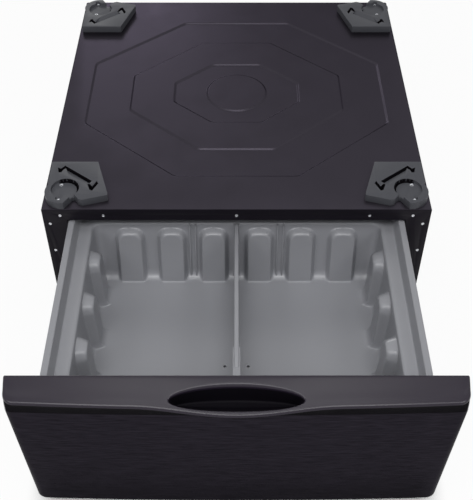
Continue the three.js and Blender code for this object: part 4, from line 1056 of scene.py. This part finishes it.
# share of the way to the lip, and depth under the nose
NOSE = [(0.967, 1.3), (0.993, 3.4), (1, 5.6)]
LIP_TURN_BACK, LIP_TURN_DOWN = 1.6, 8
LIP_UNDER_SHARE, LIP_UNDER_DOWN = 0.15, 11
# how far back from the front and in from the ends the painted shade under the lip stops
LIP_SHADE_BACK, LIP_SHADE_SIDE = 8, 3
CAP_WALL = 1.6
CAP_BOTTOM = FACE_TOP + 0.3
NOSE_Z = DECK_Z - 7.6
# how far under the nose the painted shade under the lip starts
NOSE_LIT = 4.5
LIP_REACH = 49.5
LIP_BOW = 8
SWELL = 13.5
SWELL_HALF = 155
ROUND_END = 2.2
ROLL = 2.6
BACK_ROLL = 1.3
ROLL_FOOT = 2.5
MOUTH_HALF_X = 98.6
MOUTH_HALF_Y = 18.75
MOUTH_POINT = 1.05
MOUTH_REACH = 35.5
MOUTH_BOW = 1.75
MOUTH_STEPS = 128
MOUTH_CUT = (DECK_Z - 24, DECK_Z + 12)
CUP_DEPTH = 30
CUP_WALL = 1.7
CUP_PLAY = 0.3
CUP_UNDER_ROLL = 0.4
CUP_FLOOR_X, CUP_FLOOR_Y, CUP_FLOOR_REACH = MOUTH_HALF_X - 9, 7, 29
CUP_ROUND_X, CUP_ROUND_Y = 5, 4


def lip_reach(x):
    at = min(abs(x), LIP_END)
    swell = SWELL * math.cos(math.pi * at / (2 * SWELL_HALF)) ** 2 if at < SWELL_HALF else 0.0
    past = abs(x) - LIP_END
    corner = LIP_RADIUS - math.sqrt(max(0.0, LIP_RADIUS**2 - past**2)) if past > 0 else 0.0
    return LIP_REACH - LIP_BOW * (at / LIP_END) ** 2 + swell - corner


def spline(points, steps):
    """A smooth curve through points, as the points of a fine polyline."""
    run = [points[0]] + list(points) + [points[-1]]
    out = []
    for i in range(1, len(run) - 2):
        p0, p1, p2, p3 = run[i - 1: i + 3]
        for k in range(steps):
            t = k / steps
            out.append(tuple(
                0.5 * (2 * b + (c - a) * t + (2 * a - 5 * b + 4 * c - d) * t**2
                       + (3 * b - a - 3 * c + d) * t**3)
                for a, b, c, d in zip(p0, p1, p2, p3)
            ))
    return out + [points[-1]]


CROWN_LINE = spline(CROWN, 12)


def cap_height(x, reach):
    """The cap's top over a point: x across, and its distance ahead of the drawer front's back."""
    share = reach / lip_reach(x)
    for (a, za), (b, zb) in zip(CROWN_LINE, CROWN_LINE[1:]):
        if share <= b:
            return DECK_Z + lerp(za, zb, (share - a) / (b - a))
    return NOSE_Z


def cap_row(x, inset):
    """One section of the cap from the foot of its back, over the top and round the lip."""
    lip = lip_reach(x) - inset
    face = face_reach(x, FACE_TOP) - inset
    row = [(-inset, CAP_BOTTOM + t * (DECK_Z - CAP_BOTTOM)) for t in (0, 0.35, 0.7, 0.93)]
    row += [(-inset - (lip - inset) * s, DECK_Z + rise - inset) for s, rise in CROWN_LINE]
    nose = NOSE_Z - inset
    tip = [row[-1]] + [(-lip * share, nose - drop) for share, drop in NOSE]
    tip.append((-lip + LIP_TURN_BACK, nose - LIP_TURN_DOWN))
    row += spline(tip, 4)[1:]
    under = (-lerp(face, lip, LIP_UNDER_SHARE), nose - LIP_UNDER_DOWN)
    bend = tip[-1], under, (-face, CAP_BOTTOM)
    for k in range(1, 9):
        t = k / 8
        row.append(tuple(
            (1 - t) ** 2 * a + 2 * t * (1 - t) * b + t**2 * c for a, b, c in zip(*bend)
        ))
    return [(x, y + DRAWER_Y, z) for y, z in row]


def roll_share(up):
    """How much wider the mouth's rolled edge is than at its front."""
    return 1 + BACK_ROLL * max(0.0, up)


def mouth_angles():
    """The way round the mouth: along it, towards its back, and how far back its edge lies."""
    for a in full_turn(MOUTH_STEPS):
        yield math.cos(a), math.sin(a), math.copysign(abs(math.sin(a)) ** MOUTH_POINT, math.sin(a))


def mouth_ring(grow_by):
    """The finger pocket's outline seen from above."""
    ring = []
    for along, up, depth in mouth_angles():
        extra = grow_by * roll_share(up)
        x, y = (MOUTH_HALF_X + extra) * along, (MOUTH_HALF_Y + extra) * depth
        ring.append(Vector((x, y - MOUTH_REACH - MOUTH_BOW * along**2)))
    return ring


def prism(ring, z0, z1):
    """A straight upright solid on an outline, as points and faces."""
    points = [(p.x, p.y + DRAWER_Y, z) for z in (z0, z1) for p in ring]
    return points, solid_faces(2, len(ring))


def make_cap():
    places = [x * 5.0 for x in range(65)]
    places += [LIP_END + (LIP_RADIUS - ROUND_END) * math.sin(a) for a in arc(0, 90, 12)[1:]]
    stations = [(x, 0.0) for x in places]
    stations += [
        (HALF_WIDTH - ROUND_END * (1 - math.sin(a)), ROUND_END * (1 - math.cos(a)))
        for a in arc(20, 90, 4)
    ]
    stations = sorted({(-x, i) for x, i in stations} | set(stations))
    points = [p for x, inset in stations for p in cap_row(x, inset)]
    columns = len(points) // len(stations)
    faces = grid_faces(len(stations), columns, False)
    faces += [tuple(range(columns)), tuple(range(len(points) - columns, len(points)))]
    cap = build("cap", points, faces, open_skin=True)
    modify(cap, "SOLIDIFY", thickness=CAP_WALL * MM, offset=-1.0)
    bake(cap)
    cutter = build("mouth", *prism(mouth_ring(ROLL), *MOUTH_CUT))
    modify(cap, "BOOLEAN", operation="DIFFERENCE", object=cutter, solver="EXACT", use_self=True)
    bake(cap)
    bpy.data.objects.remove(cutter)
    smooth(cap, 50)

    rows = []
    for a in arc(0, 90, 8):
        row = []
        for p, (_, up, _) in zip(mouth_ring(ROLL * (1 - math.sin(a))), mouth_angles()):
            fall = ROLL * roll_share(up) * (1 - math.cos(a))
            row.append((p.x, p.y + DRAWER_Y, cap_height(p.x, -p.y) - fall))
        rows.append(row)
    rows.append([(x, y, z - ROLL_FOOT) for x, y, z in rows[-1]])
    rows.append([
        (p.x, p.y + DRAWER_Y, z - ROLL_FOOT) for p, (_, _, z) in zip(mouth_ring(ROLL), rows[-2])
    ])
    count = len(rows[0])
    faces = grid_faces(len(rows), count, True)
    last = (len(rows) - 1) * count
    faces += [(i, last + i, last + (i + 1) % count, (i + 1) % count) for i in range(count)]
    roll = smooth(build("roll", [p for row in rows for p in row], faces), 50)
    whole = settle(join("cap_moulding", cap, roll), "drawer", "cap_plastic", "drawer_top_cap")

    # the faces under the lip's nose get painted shade
    def lip_shade_faces(heights, middle):
        ahead = middle.y < DRAWER_Y - LIP_SHADE_BACK
        within = abs(middle.x) < HALF_WIDTH - LIP_SHADE_SIDE
        return ahead and within and middle.z < NOSE_Z - NOSE_LIT

    paint_deep_shade(whole, lip_shade_faces)


def cup_skin(inset):
    """The pocket's rings from its rim to the middle of its floor."""
    floor = DECK_Z - CUP_DEPTH - inset
    grown = inset - CUP_PLAY
    rows = []
    levels = [(t / 10, 0.0) for t in range(10)]
    levels += [(1 - 0.1 * (1 - math.sin(a)), 1 - math.cos(a)) for a in arc(0, 90, 6)]
    for t, sink in levels:
        row = []
        for along, up, depth in mouth_angles():
            half_x = lerp(MOUTH_HALF_X, CUP_FLOOR_X, t) + grown - sink * CUP_ROUND_X
            half_y = lerp(MOUTH_HALF_Y, CUP_FLOOR_Y, t) + grown - sink * CUP_ROUND_Y
            middle = lerp(MOUTH_REACH, CUP_FLOOR_REACH, t) + MOUTH_BOW * along**2
            x, y = half_x * along, -middle + half_y * depth
            rim = cap_height(x, -y) - ROLL * roll_share(up) - CUP_UNDER_ROLL
            row.append((x, y + DRAWER_Y, lerp(rim, floor, t)))
        rows.append(row)
    return [p for row in rows for p in row], len(rows), MOUTH_STEPS


def make_cup():
    inner, rows, columns = cup_skin(0.0)
    outer, _, _ = cup_skin(CUP_WALL)
    faces = grid_faces(rows, columns, True)
    faces.append(tuple(range((rows - 1) * columns, rows * columns)))
    cup = smooth(build("pocket_cup", *closed_wall(inner, outer, faces)), 50)
    settle(cup, "drawer", "cup_plastic", "handle_cup")


make_cap()
make_cup()

# ---- floor, light and camera
WHITE = (1, 1, 1, 1)
FLOOR_COLOUR = (0.8, 0.8, 0.8, 1)
FLOOR_GLOW = 0.95
FLOOR_HALF = 30
SHADE_EDGE = 0.03
SKY_LEVEL = 0.12
SENSOR = 36
FOCAL_PIXELS = 895.6
IMAGE_HEIGHT = 500
CAMERA_BEFORE_FRONT = 1.1212
CAMERA_OVER_DECK = 1.098
CAMERA_DOWN = 44.766
CAMERA_SHIFT = -0.07
DRAWER_AIM, DECK_AIM = (0, -0.3, 0.3), (0, 0.4, 0.36)
# name, place, aim, size, power
SOFT_BOXES = [
    ("front_box", (-0.1, -1.8, 3.0), DRAWER_AIM, (2.2, 0.9), 42),
    ("left_box", (-1.7, -1.7, 2.2), DRAWER_AIM, (1.0, 1.0), 15),
    ("right_box", (1.7, -1.7, 2.2), DRAWER_AIM, (1.0, 1.0), 15),
    ("top_box", (0, -0.3, 3.1), DRAWER_AIM, (1.4, 1.0), 10),
    ("back_box", (-0.7, 3.0, 1.6), DECK_AIM, (1.1, 0.5), 16),
]


def seen_rays(tree):
    """1 for a ray that shows the background: straight, by a reflection or through glass."""
    path = add_node(tree, "ShaderNodeLightPath").outputs
    straight = calc(tree, "MAXIMUM", path["Is Camera Ray"], path["Is Glossy Ray"])
    return calc(tree, "MAXIMUM", straight, path["Is Transmission Ray"])


def under_object(tree):
    """1 on the floor under the object, falling to 0 a little way outside it."""
    low, high = map(Vector, cad_bounds)
    middle, half = (low + high) / 2, (high - low) / 2
    place = add_node(tree, "ShaderNodeTexCoord").outputs["Object"]
    shift = made(
        tree, "ShaderNodeVectorMath", {0: place, 1: (middle.x, middle.y, 0)}, operation="SUBTRACT"
    )
    away = made(tree, "ShaderNodeVectorMath", {0: shift}, operation="ABSOLUTE")
    axes = add_node(tree, "ShaderNodeSeparateXYZ", {0: away}).outputs
    past_x = calc(tree, "SUBTRACT", axes["X"], half.x)
    past_y = calc(tree, "SUBTRACT", axes["Y"], half.y)
    past = calc(tree, "MAXIMUM", past_x, past_y)
    return spread(tree, past, -SHADE_EDGE, SHADE_EDGE, 1.0, 0.0, "SMOOTHSTEP")


def make_floor():
    mesh = bpy.data.meshes.new("floor")
    half = FLOOR_HALF
    corners = [(-half, -half, 0), (half, -half, 0), (half, half, 0), (-half, half, 0)]
    mesh.from_pydata(corners, [], [(0, 1, 2, 3)])
    floor = link("studio_floor", mesh)
    material = bpy.data.materials.new("studio_floor")
    tree = bare_tree(material)
    diffuse = made(tree, "ShaderNodeBsdfDiffuse", {"Color": FLOOR_COLOUR})
    bright = made(tree, "ShaderNodeEmission", {"Color": WHITE, "Strength": 1.0})
    clear = calc(tree, "SUBTRACT", 1.0, under_object(tree))
    share = calc(tree, "MULTIPLY", calc(tree, "MULTIPLY", seen_rays(tree), clear), FLOOR_GLOW)
    mixed = made(tree, "ShaderNodeMixShader", {0: share, 1: diffuse, 2: bright})
    add_node(tree, "ShaderNodeOutputMaterial", {"Surface": mixed})
    mesh.materials.append(material)


def make_world():
    """White where it is seen, and an even soft sky where it lights."""
    world = bpy.data.worlds.new("studio")
    bpy.context.scene.world = world
    tree = bare_tree(world)
    strength = made(tree, "ShaderNodeMix", {0: seen_rays(tree), 2: SKY_LEVEL, 3: 1.0})
    back = add_node(tree, "ShaderNodeBackground", {"Color": WHITE, "Strength": strength})
    add_node(tree, "ShaderNodeOutputWorld", {"Surface": back.outputs[0]})


def soft_box(name, place, aim, size, power):
    data = bpy.data.lights.new(name, "AREA")
    data.shape = "RECTANGLE"
    data.size, data.size_y = size
    data.energy = power
    lamp = link(name, data)
    lamp.location = place
    lamp.rotation_euler = (Vector(aim) - Vector(place)).to_track_quat("-Z", "Y").to_euler()


def make_camera():
    data = bpy.data.cameras.new("photo_view")
    data.sensor_width = SENSOR
    data.lens = FOCAL_PIXELS / IMAGE_HEIGHT * SENSOR
    data.shift_y = CAMERA_SHIFT
    camera = link("photo_view", data)
    camera.location = (0, FRONT_Y * MM - CAMERA_BEFORE_FRONT, DECK_Z * MM + CAMERA_OVER_DECK)
    camera.rotation_euler = (math.radians(90 - CAMERA_DOWN), 0, 0)
    bpy.context.scene.camera = camera


make_floor()
make_world()
for box in SOFT_BOXES:
    soft_box(*box)
make_camera()
bpy.context.scene.view_settings.view_transform = "Standard"
